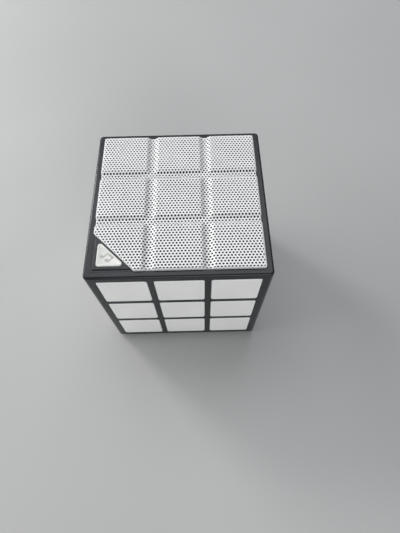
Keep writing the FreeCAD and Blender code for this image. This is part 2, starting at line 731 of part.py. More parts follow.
def make_diaphragm():
    """The moving assembly: cone, dust cap, former and voice coil."""
    skin = S.cone_thick
    rim = S.flange_top - S.lip_gap
    node("driver_cone", turned("cone", [
        (S.cone_neck, S.cone_low), (S.cone_neck + skin, S.cone_low),
        (S.lip_in, rim - skin), (S.roll_in, rim - skin), (S.roll_in, rim),
        (S.lip_in - S.lip_bevel, rim), (S.cone_neck, S.cone_low + S.neck_high)]))
    node("driver_coil_former", turned("former", ring(S.former_in, S.former_out,
                                                     S.former_low, S.cone_low + S.former_sunk)))
    node("driver_voice_coil", turned("coil", ring(S.former_out, S.coil_out,
                                                  S.coil_low, S.coil_high)))
    base = S.cone_low + S.cap_base
    cap = doc.addObject("Part::Sphere", "cap_ball")
    reach = S.cone_neck + S.cap_overlap
    radius = (reach * reach + S.cap_rise * S.cap_rise) / (2 * S.cap_rise)
    bind(cap, Radius=radius)
    place(cap, 0, 0, base + S.cap_rise - radius)
    inner = doc.addObject("Part::Sphere", "cap_hollow")
    bind(inner, Radius=radius - S.cap_thick)
    place(inner, 0, 0, base + S.cap_rise - radius)
    shell = cut("cap_shell", cap, inner)
    above = box("cap_above", (-S.roll_in, S.roll_in), (-S.roll_in, S.roll_in),
                (base, base + S.cap_rise + OVER))
    node("driver_dust_cap", common("cap", shell, above))


def make_suspension():
    """The half-roll rubber surround and the corrugated spider."""
    skin = S.roll_thick
    lip_low = S.flange_top
    middle = (S.roll_out + S.roll_in) / 2
    radius = (S.roll_out - S.roll_in) / 2
    rolls = []
    for name, size in (("roll_out", radius), ("roll_in", radius - skin)):
        torus = doc.addObject("Part::Torus", f"surround_{name}")
        bind(torus, Radius1=middle, Radius2=size)
        rolls.append(place(torus, 0, 0, lip_low))
    shell = cut("surround_shell", *rolls)
    upper = rod("surround_upper", S.surround_out, lip_low, lip_low + radius + OVER)
    roll = common("surround_roll", shell, upper)
    lips = turned("surround_lips",
                  ring(S.roll_out - skin, S.surround_out, lip_low, lip_low + S.gasket_thick),
                  ring(S.lip_in, S.roll_in + skin, lip_low, lip_low + skin))
    lips_feature = lips.Group[-1]
    lips_feature.AllowMultiFace = True
    bottom = rod("surround_gap", S.roll_out - skin, lip_low, lip_low + skin)
    clear = cut("surround_gap_ring", bottom,
                rod("surround_gap_core", S.roll_in + skin, lip_low - OVER, lip_low + skin + OVER))
    node("driver_surround", cut("surround", fuse("surround_solid", roll, lips), clear))
    low, span = S.spider_at, S.spider_out - S.former_out
    step = span / (2 * SPIDER_WAVES)
    under, over = [], []
    for i in range(2 * SPIDER_WAVES + 1):
        across = S.former_out + step * i
        lift = (i % 2) * S.spider_wave
        under.append((across, low + lift))
        over.append((across, low + lift + S.spider_thick))
    node("driver_spider", turned("spider", under + over[::-1]))
    ring_ = turned("gasket_ring", ring(S.gasket_in, S.flange_out, lip_low,
                                       lip_low + S.gasket_thick))
    holes = [rod(f"gasket_hole_{i}", S.small_pilot, lip_low - OVER, lip_low + OVER, spot)
             for i, spot in enumerate(driver_screw_spots())]
    node("driver_gasket", cut("gasket", ring_, *holes))


def make_driver_terminals():
    """The terminal strip on the basket's side, with its two solder tags."""
    near = S.spider_out + S.strip_gap
    far = near + S.strip_thick
    strip = box("terminal_strip", (near, far), (-S.strip_half, S.strip_half),
                (S.plate_high - S.strip_drop, S.spider_at))
    tag_half = S.tag_wide / 2
    tag_top = S.plate_high - S.tag_drop + S.tag_thick
    tags = [box(f"terminal_tag_{sign + 1}", (far, far + S.tag_long),
                (sign * S.tag_apart - tag_half, sign * S.tag_apart + tag_half),
                (tag_top - S.tag_thick, tag_top))
            for sign in (-1, 1)]
    node("driver_terminals", fuse("terminals", strip, *tags))


# ----------------------------------------------------------- sealed chamber


def make_chamber():
    reach, wall = S.chamber_half, S.chamber_wall
    outer = box("chamber_outer", (-reach, reach), (-reach, reach), (S.chamber_low, S.chamber_high))
    hollow = box("chamber_hollow", (wall - reach, reach - wall), (wall - reach, reach - wall),
                 (S.chamber_low + wall, S.chamber_high + OVER))
    shell = cut("chamber_shell", outer, hollow)
    posts, pilots = [], []
    for i, spot in enumerate(mirrored_spots(S.post_at, S.post_at)):
        posts.append(rod(f"chamber_post_{i}", S.post_round, S.post_low, S.chamber_high, spot))
        pilots.append(rod(f"chamber_pilot_low_{i}", S.pilot_round, S.post_low - OVER,
                          S.post_low + S.pilot_deep, spot))
        pilots.append(rod(f"chamber_pilot_high_{i}", S.pilot_round,
                          S.chamber_high - S.pilot_deep, S.chamber_high + OVER, spot))
    for i, spot in enumerate(mirrored_spots(S.standoff_x, S.standoff_y)):
        posts.append(rod(f"standoff_{i}", S.standoff_round, board_high, S.chamber_low + S.standoff_root,
                         spot))
        pilots.append(rod(f"standoff_pilot_{i}", S.small_pilot, board_high - OVER,
                          small_screw_tip(S.board_low) + S.small_pilot_spare, spot))
    pilots.append(rod("chamber_lead_hole", S.grommet_round, S.chamber_low - OVER,
                      S.chamber_low + wall + OVER, (S.grommet_x, dim(0))))
    node("speaker_chamber", cut("chamber", fuse("chamber_solid", shell, *posts), *pilots))
    seal_out = box("seal_outer", (-reach, reach), (-reach, reach), (S.chamber_high, S.ledge_high))
    seal_in = box("seal_inner", (wall - reach, reach - wall), (wall - reach, reach - wall),
                  (S.chamber_high - OVER, S.ledge_high + OVER))
    node("chamber_seal", cut("seal", seal_out, seal_in))
    collar = S.grommet_round + S.grommet_lip
    body = rod("grommet_body", S.grommet_round, S.chamber_low - S.grommet_end,
               S.chamber_low + wall + S.grommet_end, (S.grommet_x, dim(0)))
    lip = rod("grommet_lip", collar, S.chamber_low - S.grommet_end, S.chamber_low,
              (S.grommet_x, dim(0)))
    bore = rod("grommet_bore", S.grommet_bore, S.chamber_low - 2 * OVER, S.chamber_low + wall + 2 * OVER,
               (S.grommet_x, dim(0)))
    node("lead_grommet", cut("grommet", fuse("grommet_solid", body, lip), bore))


# -------------------------------------------------------------- main board


def make_main_board():
    reach = S.board_half
    board = box("board_blank", (-reach, reach), (-reach, reach), (S.board_low, board_high))
    holes = []
    for i, spot in enumerate(mirrored_spots(S.post_at, S.post_at)):
        holes.append(rod(f"board_notch_{i}", S.post_round + S.board_play, S.board_low - OVER,
                         board_high + OVER, spot))
    for i, spot in enumerate(mirrored_spots(S.standoff_x, S.standoff_y)):
        holes.append(rod(f"board_hole_{i}", S.small_pilot, S.board_low - OVER,
                         board_high + OVER, spot))
    node("main_board", cut("board", board, *holes))
    make_board_parts()


def make_board_parts():
    """What is soldered on the main board: radio, amplifier, inductors and sockets."""
    x, y, high = S.radio_x, S.radio_y, board_high + S.radio_sheet
    card = box("radio_card", (x, x + S.radio_wide), (y, y + S.radio_long), (board_high, high))
    margin = S.can_margin
    can = box("radio_can", (x + margin, x + S.radio_wide - S.antenna),
              (y + margin, y + S.radio_long - margin), (high, high + S.radio_can))
    node("radio_module", fuse("radio", card, can))
    x, y = S.amp_x, S.amp_y
    node("amplifier_chip", box("amp_chip", (x, x + S.amp_wide), (y, y + S.amp_long),
                               (board_high, board_high + S.amp_thick)))
    reach = S.coil_side / 2
    coils = []
    for i, y in enumerate((-S.coil_y, S.coil_y)):
        blank = box(f"inductor_{i}", (S.coil_x - reach, S.coil_x + reach), (y - reach, y + reach),
                    (board_high, board_high + S.coil_thick))
        coils.append(rounded(f"inductor_round_{i}", blank, S.coil_round, along("z")))
    node("power_inductors", group("inductors", coils))
    long, wide, high = S.socket_long / 2, S.socket_wide / 2, S.socket_high
    y = S.battery_back + S.lead_rise
    battery_socket = box("battery_socket", (-long, long), (y - wide, y + wide),
                         (S.board_low - high, S.board_low))
    x = speaker_socket_x
    speaker_socket = box("speaker_socket", (x - wide, x + wide), (-long, long),
                         (board_high, board_high + high))
    node("lead_sockets", group("socket_set", [battery_socket, speaker_socket]))


# ------------------------------------------------------ connector bay, rear


def make_io_panel():
    """The black plate that fills the middle window of the rear's lowest row."""
    face = half - S.tile_recess
    back = face - S.io_skin
    body = doc.addObject("PartDesign::Body", "io_plate")
    plan = plane_sketch(body, "io_plate_plan", "XZ_Plane", -face)
    rounded_square(plan, 0, io_z, S.tile, S.tile_round)
    pad = feature(body, "Pad", "io_plate_pad", plan, Length=S.io_skin)
    soften(body, "io_plate_edges", pad, S.io_edge_round, level("y", face))
    reach = io_half + S.tile_gap / 2 - S.io_flange_play
    flange = box("io_flange", (-reach, reach), (panel_back, inside),
                 (io_z - reach + S.io_flange_trim, io_z + reach))
    throat = box("io_throat", (S.io_rim - io_half, io_half - S.io_rim), (panel_back - OVER, back),
                 (io_z - io_half + S.io_rim, io_z + io_half - S.io_rim))
    web = box("io_web", (-io_half, io_half), (inside, back), (io_z - io_half, io_z + io_half))
    tools = []
    for i in COLUMNS:
        tools.append(rod(f"io_button_hole_{i + 1}", S.button_round + S.button_play, back - OVER,
                         face + OVER, (i * S.button_pitch, io_z + S.button_rise), "y"))
    low = -S.slider_x - S.knob_wide / 2 - S.knob_play
    tools.append(box("io_slider_slot", (low, low + S.knob_wide + S.slider_travel + 2 * S.knob_play),
                     (back - OVER, face + OVER),
                     (io_z + S.slider_rise - S.knob_high / 2 - S.knob_play,
                      io_z + S.slider_rise + S.knob_high / 2 + S.knob_play)))
    lens_spot = (-S.lens_x, io_z + S.slider_rise)
    tools.append(rod("io_lens_hole", S.lens_round, back - OVER, face + OVER, lens_spot, "y"))
    reach_x = S.usb_wide / 2 + S.usb_play
    reach_z = S.usb_high / 2 + S.usb_play
    slot = box("io_usb_slot", (-S.usb_x - reach_x, -S.usb_x + reach_x), (back - OVER, face + OVER),
               (io_z + S.usb_rise - reach_z, io_z + S.usb_rise + reach_z))
    tools.append(rounded("io_usb_slot_round", slot, S.usb_high / 2, along("y")))
    tools.append(rod("io_jack_hole", S.jack_nose + S.jack_play, back - OVER, face + OVER,
                     (-S.jack_x, io_z + S.jack_rise), "y"))
    frame = cut("io_frame", fuse("io_frame_solid", flange, web), throat)
    trimmed = common("io_web_trim", fuse("io_solid", body, frame),
                     io_envelope(face))
    node("io_panel", cut("io_panel_cut", trimmed, *tools))


def io_envelope(face):
    """Keeps the panel's rim inside its window while its flange stays wide."""
    body = doc.addObject("PartDesign::Body", "io_window_plug")
    plan = plane_sketch(body, "io_window_plan", "XZ_Plane", -face)
    rounded_square(plan, 0, io_z, S.tile, S.tile_round)
    feature(body, "Pad", "io_window_pad", plan, Length=S.wall + S.panel_skin)
    reach = io_half + S.tile_gap
    wide = box("io_behind_window", (-reach, reach), (panel_back, inside),
               (io_z - reach, io_z + reach))
    return fuse("io_envelope", body, wide)


def make_io_board():
    front = S.io_board_front
    reach = io_half + S.io_board_margin
    board = box("io_board_blank", (-reach, reach), (front - S.io_board_thick, front),
                (io_z - io_half + S.io_board_foot, io_z + io_half - S.io_board_head))
    side = S.jack_body / 2 + S.jack_play
    hole = box("io_board_jack_hole", (-S.jack_x - side, -S.jack_x + side),
               (front - S.io_board_thick - OVER, front + OVER),
               (io_z + S.jack_rise - side, io_z + S.jack_rise + side))
    chip_x, chip_z = S.chip_side, S.chip_side / 2
    up = io_z + S.slider_rise
    chip = box("status_led", (-S.lens_x - chip_x, -S.lens_x + chip_x), (front, front + chip_x),
               (up - chip_z, up + chip_z))
    node("io_board", fuse("io_board_with_led", cut("io_board_cut", board, hole), chip))


BUTTONS = {"button_volume_down": 1, "button_play": 0, "button_volume_up": -1}


def make_buttons():
    """Round caps with a retaining flange, each on its own tact switch."""
    face = half - S.tile_recess - S.button_dish
    panel_rear = half - S.tile_recess - S.io_skin
    flange_high = panel_rear - S.button_flange_play
    flange_low = flange_high - S.button_flange_thick
    tact_front = S.io_board_front + S.tact_deep
    tip = tact_front + 2 * S.button_travel
    up = io_z + S.button_rise
    switches = []
    for name, column in BUTTONS.items():
        spot = (column * S.button_pitch, up)
        crown = rod(f"{name}_crown", S.button_round, flange_high, face, spot, "y")
        soft = rounded(f"{name}_soft", crown, S.key_edge_round, level("y", face))
        flange = rod(f"{name}_flange", S.button_flange, flange_low, flange_high, spot, "y")
        stem = rod(f"{name}_stem", S.stem_round, tip, flange_low, spot, "y")
        pip = rod(f"{name}_pip", S.plunger_round, tact_front - S.plunger_deep, tip, spot, "y")
        node(name, fuse(f"{name}_cap", soft, flange, stem, pip))
        side = S.tact_side / 2
        blank = box(f"{name}_tact", (spot[0] - side, spot[0] + side),
                    (S.io_board_front, tact_front), (up - side, up + side))
        bore = rod(f"{name}_tact_bore", S.plunger_round + S.plunger_play,
                   tact_front - S.plunger_deep - 2 * S.button_travel, tact_front + OVER, spot, "y")
        switches.append(cut(f"{name}_tact_body", blank, bore))
    node("tact_switches", group("tact_set", switches))


def make_power_switch():
    """A slide switch: its shuttle runs in the body and its knob in the panel's slot."""
    up = io_z + S.slider_rise
    face = half - S.tile_recess
    front = S.io_board_front
    reach_x, reach_z = S.slider_body_x / 2, S.slider_body_z / 2
    middle = -S.slider_x + S.slider_travel / 2
    body = box("switch_blank", (middle - reach_x, middle + reach_x),
               (front, front + S.slider_body_y), (up - reach_z, up + reach_z))
    shuttle_z = reach_z - S.shuttle_margin
    shuttle_low = front + S.shuttle_rise
    shuttle_high = shuttle_low + S.shuttle_thick
    play = S.knob_play
    room = S.shuttle_x / 2 + S.slider_travel / 2 + play
    cavity = box("switch_cavity", (middle - room, middle + room),
                 (shuttle_low - play, shuttle_high + play),
                 (up - shuttle_z - play, up + shuttle_z + play))
    stem_z = S.knob_high / 2 - S.knob_stem_margin
    mouth_room = S.knob_wide / 2 + S.slider_travel / 2
    mouth = box("switch_mouth", (middle - mouth_room, middle + mouth_room),
                (shuttle_low, front + S.slider_body_y + OVER),
                (up - stem_z - play, up + stem_z + play))
    node("power_switch", cut("switch_body", body, cavity, mouth))
    at = -S.slider_x
    shuttle = box("knob_shuttle", (at - S.shuttle_x / 2, at + S.shuttle_x / 2),
                  (shuttle_low, shuttle_high), (up - shuttle_z, up + shuttle_z))
    root = face - S.io_skin + S.knob_root
    stem_x = S.knob_wide / 2 - S.key_edge_round
    stem = box("knob_stem", (at - stem_x, at + stem_x), (shuttle_high, root),
               (up - stem_z, up + stem_z))
    grip = box("knob_grip", (at - S.knob_wide / 2, at + S.knob_wide / 2),
               (root, face - S.knob_recess),
               (up - S.knob_high / 2, up + S.knob_high / 2))
    soft = rounded("knob_soft", grip, S.key_edge_round, level("y", face - S.knob_recess))
    node("power_switch_knob", fuse("knob", shuttle, stem, soft))


def make_ports():
    front = S.io_board_front
    face = half - S.tile_recess
    up = io_z + S.usb_rise
    x, wide, high = -S.usb_x, S.usb_wide / 2, S.usb_high / 2
    mouth = face - S.usb_recess
    floor, tongue = front + S.usb_floor, S.usb_tongue_wide / 2
    can = rounded("usb_can_round",
                  box("usb_can", (x - wide, x + wide), (front, mouth), (up - high, up + high)),
                  high - S.usb_end_flat, along("y"))
    skin = S.usb_shell
    inner = rounded("usb_inner_round",
                    box("usb_inner", (x - wide + skin, x + wide - skin),
                        (floor, mouth + OVER), (up - high + skin, up + high - skin)),
                    high - skin - S.usb_end_flat, along("y"))
    node("charging_port", cut("usb_shell", can, inner))
    node("charging_port_tongue",
         box("usb_tongue", (x - tongue, x + tongue), (floor, mouth - S.usb_tongue_sunk),
             (up - S.usb_tongue / 2, up + S.usb_tongue / 2)))
    x, up = -S.jack_x, io_z + S.jack_rise
    tip = face - S.jack_recess
    panel_rear = face - S.io_skin
    side = S.jack_body / 2
    shell = box("jack_shell", (x - side, x + side), (tip - S.jack_deep, panel_rear - S.jack_step),
                (up - side, up + side))
    nose = rod("jack_nose_ring", S.jack_nose, panel_rear - S.jack_step, tip, (x, up), "y")
    bore = rod("jack_bore_cut", S.jack_bore, tip - S.jack_bore_deep, tip + OVER, (x, up), "y")
    node("aux_jack", cut("jack", fuse("jack_solid", shell, nose), bore))
    lens = rod("lens_pipe", S.lens_round, S.lens_low, face - S.button_dish,
               (-S.lens_x, io_z + S.slider_rise), "y")
    node("status_lens", lens)


# --------------------------------------------------- base, feet and battery


def make_base():
    reach = half - S.base_inset
    lid = rounded("base_lid_round",
                  rounded("base_lid_corners",
                          box("base_lid", (-reach, reach), (-reach, reach),
                              (S.base_low, S.frame_low)),
                          S.corner_round, along("z")),
                  S.base_round / 2, level("z", S.base_low))
    plug_reach = inside - S.plug_play
    plug = box("base_plug", (-plug_reach, plug_reach), (-plug_reach, plug_reach),
               (S.frame_low, S.plug_top))
    bx, wall = S.battery_x / 2 + S.cage_play, S.cage_wall
    y_high = S.battery_back + S.cage_play
    y_low = S.battery_back - S.battery_y - S.cage_play
    cage_top = S.plug_top + S.cage_rise
    cage_out = box("cage_outer", (-bx - wall, bx + wall), (y_low - wall, y_high + wall),
                   (S.plug_top, cage_top))
    cage_in = box("cage_inner", (-bx, bx), (y_low, y_high), (S.plug_top, cage_top + OVER))
    cage_gap = box("cage_gap", (-S.cage_gap / 2, S.cage_gap / 2),
                   (y_low - wall - OVER, y_high + wall + OVER), (S.plug_top, cage_top + OVER))
    cage = cut("cage", cage_out, cage_in, cage_gap)
    tools = []
    for i, spot in enumerate(mirrored_spots(S.foot_at, S.foot_at)):
        tools.append(rod(f"foot_recess_{i}", S.foot_round + S.foot_play, S.base_low - OVER,
                         S.base_low + S.foot_recess, spot))
    for i, spot in enumerate(mirrored_spots(S.post_at, S.post_at)):
        tools.append(rod(f"base_screw_hole_{i}", S.pilot_round, S.base_low - OVER,
                         S.plug_top + OVER, spot))
        tools.append(rod(f"base_screw_seat_{i}", S.screw_head + S.seat_play, S.base_low - OVER,
                         S.base_low + S.head_sunk + S.screw_head_thick, spot))
    node("base_plate", cut("base", fuse("base_solid", lid, plug, cage), *tools))
    feet = []
    for i, spot in enumerate(mirrored_spots(S.foot_at, S.foot_at)):
        blank = rod(f"foot_blank_{i}", S.foot_round, dim(0), S.base_low + S.foot_recess, spot)
        feet.append(rounded(f"foot_{i}", blank, S.foot_edge_round, level("z", dim(0))))
    node("rubber_feet", group("feet", feet))


def small_screw_tip(seat):
    return seat + S.small_screw_long


def make_small_screws():
    """Eight small screws, heads down: four hold the main board, four the driver."""
    places = [(spot, S.board_low) for spot in mirrored_spots(S.standoff_x, S.standoff_y)]
    places += [(spot, S.flange_top - S.flange_thick) for spot in driver_screw_spots()]
    screws = []
    for i, (spot, seat) in enumerate(places):
        head = rod(f"small_head_{i}", S.small_head, seat - S.small_head_thick, seat, spot)
        shank = rod(f"small_shank_{i}", S.small_pilot, seat, small_screw_tip(seat), spot)
        screws.append(fuse(f"small_screw_{i}", head, shank))
    node("small_screws", group("small_screw_set", screws))


def make_case_screws():
    """Eight pan-head screws: four up through the base and four down through the deck."""
    head_low = S.base_low + S.head_sunk
    head_high = head_low + S.screw_head_thick
    seat = S.deck_top - S.deck_seat_deep
    screws = []
    for i, spot in enumerate(mirrored_spots(S.post_at, S.post_at)):
        head = rod(f"base_screw_head_{i}", S.screw_head, head_low, head_high, spot)
        shank = rod(f"base_screw_shank_{i}", S.pilot_round, head_high,
                    head_high + S.screw_long, spot)
        screws.append(fuse(f"base_screw_{i}", head, shank))
        head = rod(f"deck_screw_head_{i}", S.screw_head, seat, seat + S.screw_head_thick, spot)
        shank = rod(f"deck_screw_shank_{i}", S.pilot_round, seat - S.screw_long, seat, spot)
        screws.append(fuse(f"deck_screw_{i}", head, shank))
    node("case_screws", group("case_screw_set", screws))


def make_battery():
    x = S.battery_x / 2
    y_high, y_low = S.battery_back, S.battery_back - S.battery_y
    z_low = S.plug_top + S.battery_tape
    edge = S.tape_margin
    blank = box("cell_blank", (-x, x), (y_low, y_high), (z_low, z_low + S.battery_thick))
    node("battery_cell", rounded("cell", blank, S.cell_round, along("y")))
    node("battery_tape", box("cell_tape", (edge - x, x - edge), (y_low + edge, y_high - edge),
                             (S.plug_top, z_low)))


# ------------------------------------------------------------------- wiring


def wire_path(points, bend):
    """Straight runs joined by tangent arcs of one bend radius."""
    edges = []
    start = points[0]
    for before, corner, after in zip(points, points[1:], points[2:]):
        way_in = (corner - before).normalize()
        way_out = (after - corner).normalize()
        angle = way_in.getAngle(way_out)
        trim = bend * math.tan(angle / 2)
        first, last = corner - way_in * trim, corner + way_out * trim
        sag = bend / math.cos(angle / 2) - bend
        middle = corner + (way_out - way_in).normalize() * sag
        edges.append(Part.LineSegment(start, first).toShape())
        edges.append(Part.Arc(first, middle, last).toShape())
        start = last
    edges.append(Part.LineSegment(start, points[-1]).toShape())
    return Part.Wire(edges)


def wire_tube(points, bend, radius):
    path = wire_path(points, bend)
    way = (points[1] - points[0]).normalize()
    disc = Part.Wire([Part.Circle(points[0], way, radius).toShape()])
    return path.makePipeShell([disc], True, False)


def make_leads():
    """Two twin leads: battery to main board, and main board to driver."""
    node("battery_lead", twin_lead("battery_wires", S.lead_bend, S.lead_round, S.battery_lead_apart,
                                   battery_route))
    node("speaker_lead", twin_lead("speaker_wires", S.lead_round, S.lead_round, S.speaker_lead_apart,
                                   speaker_route))


def twin_lead(name, bend, radius, apart, route):
    """Two wires side by side, each along route(offset)."""
    lead = doc.addObject("Part::Feature", name)
    tubes = [wire_tube(route(sign * apart.value), bend.value, radius.value) for sign in (-1, 1)]
    lead.Shape = Part.Compound(tubes)
    return lead


def battery_route(x):
    """From the battery's rear end, back and up into its socket under the main board."""
    y = S.battery_back.value
    low = (S.plug_top + S.battery_tape + S.battery_thick / 2).value
    run = S.lead_rise.value
    high = (S.board_low - S.socket_high).value
    return [V(x, y, low), V(x, y + run / 2, low), V(x, y + run, low + run / 2), V(x, y + run, high)]


def speaker_route(y):
    """From the driver's tags down through the grommet to the socket on the main board."""
    tag_x = (S.spider_out + S.tag_reach).value
    tag_z = (S.plate_high - S.tag_drop).value
    tag_y = math.copysign(S.tag_apart.value, y)
    hole = S.grommet_x.value
    jog = S.lead_jog.value
    socket = (board_high + S.socket_high).value
    return [V(tag_x, tag_y, tag_z), V(tag_x, tag_y, tag_z - 2 * jog), V(hole, y, tag_z - 5 * jog),
            V(hole, y, socket + 1.1 * jog), V(hole - jog, y, socket + 0.4 * jog),
            V(hole - jog, y, socket)]


# ----------------------------------------------------------------- assembly

make_lattice_frame()
for side, angle in SIDES.items():
    make_light_panel(side, angle)
    make_light_baffle(side, angle)
    make_led_board(side, angle)
make_leds()
make_deck()
make_nameplate()
make_grille()
make_scrim()
make_basket()
make_motor()
make_diaphragm()
make_suspension()
make_driver_terminals()
make_chamber()
make_main_board()
make_io_panel()
make_io_board()
make_buttons()
make_power_switch()
make_ports()
make_base()
make_small_screws()
make_case_screws()
make_battery()
make_leads()
doc.recompute()

# ------------------------------------------------------- check and write out

for thing in doc.Objects:
    faults = [word for word in thing.State if word in ("Invalid", "Error")]
    if faults:
        raise RuntimeError(f"{thing.Name} ({thing.Label}) failed: {faults}")
for thing in NODES:
    shape = thing.Shape
    if shape.isNull() or not shape.isValid() or not shape.Solids:
        raise RuntimeError(f"{thing.Label} has no valid solid")
os.makedirs("parts", exist_ok=True)
for thing in NODES:
    thing.Shape.exportStep(f"parts/{thing.Label}.step")
    bounds = thing.Shape.BoundBox
    print(f"{thing.Label:24s} solids {len(thing.Shape.Solids):2d} volume {thing.Shape.Volume:10.2f}"
          f"  x {bounds.XMin:7.2f} {bounds.XMax:7.2f}  y {bounds.YMin:7.2f} {bounds.YMax:7.2f}"
          f"  z {bounds.ZMin:6.2f} {bounds.ZMax:6.2f}")
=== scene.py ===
"""A portable speaker styled as a 3 x 3 puzzle cube: looks and studio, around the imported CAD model."""
import json
import math

import bmesh
import bpy
from mathutils import Matrix, Vector


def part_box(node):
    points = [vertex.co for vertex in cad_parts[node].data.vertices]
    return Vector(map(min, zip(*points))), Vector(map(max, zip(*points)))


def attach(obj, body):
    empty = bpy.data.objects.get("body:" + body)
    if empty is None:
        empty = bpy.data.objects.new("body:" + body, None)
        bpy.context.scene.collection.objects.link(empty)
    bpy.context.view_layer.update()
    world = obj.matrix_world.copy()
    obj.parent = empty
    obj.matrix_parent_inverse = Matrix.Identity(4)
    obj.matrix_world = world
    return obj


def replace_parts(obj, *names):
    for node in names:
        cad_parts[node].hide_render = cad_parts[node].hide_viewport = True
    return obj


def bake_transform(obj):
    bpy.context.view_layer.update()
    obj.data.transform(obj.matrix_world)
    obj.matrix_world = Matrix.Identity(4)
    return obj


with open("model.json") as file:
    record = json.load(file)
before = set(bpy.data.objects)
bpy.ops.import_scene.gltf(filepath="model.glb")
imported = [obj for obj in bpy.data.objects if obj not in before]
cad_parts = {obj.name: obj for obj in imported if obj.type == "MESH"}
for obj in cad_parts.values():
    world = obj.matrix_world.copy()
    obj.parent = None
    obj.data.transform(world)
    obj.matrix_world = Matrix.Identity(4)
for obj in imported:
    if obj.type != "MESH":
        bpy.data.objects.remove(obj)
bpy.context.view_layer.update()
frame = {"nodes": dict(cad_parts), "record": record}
MM = 0.001

# ------------------------------------------------------------------ materials

NOISE_LOW, NOISE_HIGH = 0.3, 0.7    # most noise values lie between these
WAVE_PERIOD = 0.314                 # the width of one band of a wave texture of scale 1


class Shader:
    """A Principled material with helpers that chain its texture nodes."""

    def __init__(self, name):
        self.material = bpy.data.materials.new(name)
        self.material.use_nodes = True
        self.tree = self.material.node_tree
        self.principled = self.tree.nodes["Principled BSDF"]
        self.place = self.add("ShaderNodeTexCoord").outputs["Object"]

    def add(self, kind, **settings):
        node = self.tree.nodes.new(kind)
        for key, value in settings.items():
            setattr(node, key, value)
        return node

    def link(self, source, target):
        self.tree.links.new(source, target)

    def set(self, **values):
        """Sets Principled inputs, named with underscores for spaces."""
        for key, value in values.items():
            self.principled.inputs[key.replace("_", " ")].default_value = value
        return self

    def noise(self, scale, detail=2.0, roughness=0.5, stretch=None):
        """Noise of the given feature size in metres, 0 to 1."""
        node = self.add("ShaderNodeTexNoise")
        node.inputs["Scale"].default_value = 1.0 / scale
        node.inputs["Detail"].default_value = detail
        node.inputs["Roughness"].default_value = roughness
        source = self.place
        if stretch:
            mapping = self.add("ShaderNodeMapping")
            mapping.inputs["Scale"].default_value = stretch
            self.link(source, mapping.inputs["Vector"])
            source = mapping.outputs["Vector"]
        self.link(source, node.inputs["Vector"])
        return node.outputs["Fac"]

    def ramp(self, source, *stops):
        """A colour for a 0 to 1 source from stops of (position, colour)."""
        node = self.add("ShaderNodeValToRGB")
        ramp = node.color_ramp
        while len(ramp.elements) < len(stops):
            ramp.elements.new(0.5)
        for element, (position, color) in zip(ramp.elements, stops):
            element.position = position
            element.color = (*color, 1.0)
        self.link(source, node.inputs["Fac"])
        return node.outputs["Color"]

    def drift(self, noise, low, high):
        """A colour that wanders from one tint to another as the noise does."""
        return self.ramp(noise, (NOISE_LOW, low), (NOISE_HIGH, high))

    def mix(self, first, second, share):
        """Goes from the first colour to the second with share; either may be a constant."""
        node = self.add("ShaderNodeMix", data_type="RGBA")
        for name, color in (("A", first), ("B", second)):
            if isinstance(color, tuple):
                node.inputs[name].default_value = (*color, 1)
            else:
                self.link(color, node.inputs[name])
        self.link(share, node.inputs["Factor"])
        return node.outputs["Result"]

    def span(self, source, low, high, start=NOISE_LOW, end=NOISE_HIGH):
        """Maps a 0 to 1 source between start and end onto low to high."""
        node = self.add("ShaderNodeMapRange")
        for key, value in (("From Min", start), ("From Max", end), ("To Min", low), ("To Max", high)):
            node.inputs[key].default_value = value
        self.link(source, node.inputs["Value"])
        return node.outputs["Result"]

    def math(self, operation, first, second):
        """A Math node; each operand is a number or a source."""
        node = self.add("ShaderNodeMath", operation=operation)
        for socket, value in zip(node.inputs, (first, second)):
            if isinstance(value, (int, float)):
                socket.default_value = value
            else:
                self.link(value, socket)
        return node.outputs["Value"]

    def bump(self, source, height, under=None):
        """A bump of the given real height in metres, over an earlier bump."""
        node = self.add("ShaderNodeBump")
        node.inputs["Strength"].default_value = 1.0
        node.inputs["Distance"].default_value = height
        self.link(source, node.inputs["Height"])
        if under is not None:
            self.link(under, node.inputs["Normal"])
        self.link(node.outputs["Normal"], self.principled.inputs["Normal"])
        return node.outputs["Normal"]

    def color(self, source):
        self.link(source, self.principled.inputs["Base Color"])

    def rough(self, source):
        self.link(source, self.principled.inputs["Roughness"])


def tint(color, gain):
    """A darker or paler version of a colour."""
    return tuple(min(1.0, channel * gain) for channel in color)


def around(color, vary):
    """The tints a little darker and a little paler than a colour."""
    return tint(color, 1 - vary), tint(color, 1 + vary)


def moulded(name, color, rough, *, grain=0.25 * MM, height=0.004 * MM, vary=0.12):
    """Moulded plastic or rubber: fine spark texture, slow colour drift, uneven gloss."""
    s = Shader(name)
    s.color(s.drift(s.noise(9 * MM, 4), *around(color, vary)))
    s.rough(s.span(s.noise(4 * MM, 3), rough * 0.88, rough * 1.12))
    s.bump(s.noise(grain, 2), height)
    return s.material


def metal(name, color, rough, *, brushed=(1, 1, 1), vary=0.1):
    """Plated or rolled metal; brushed stretches its grain, finer along the larger scales."""
    s = Shader(name).set(Metallic=1.0)
    s.color(s.drift(s.noise(3 * MM, 4), *around(color, vary)))
    streaks = s.noise(0.4 * MM, 3, 0.6, brushed)
    s.rough(s.span(streaks, rough * 0.75, rough * 1.25))
    s.bump(streaks, 0.003 * MM)
    return s.material


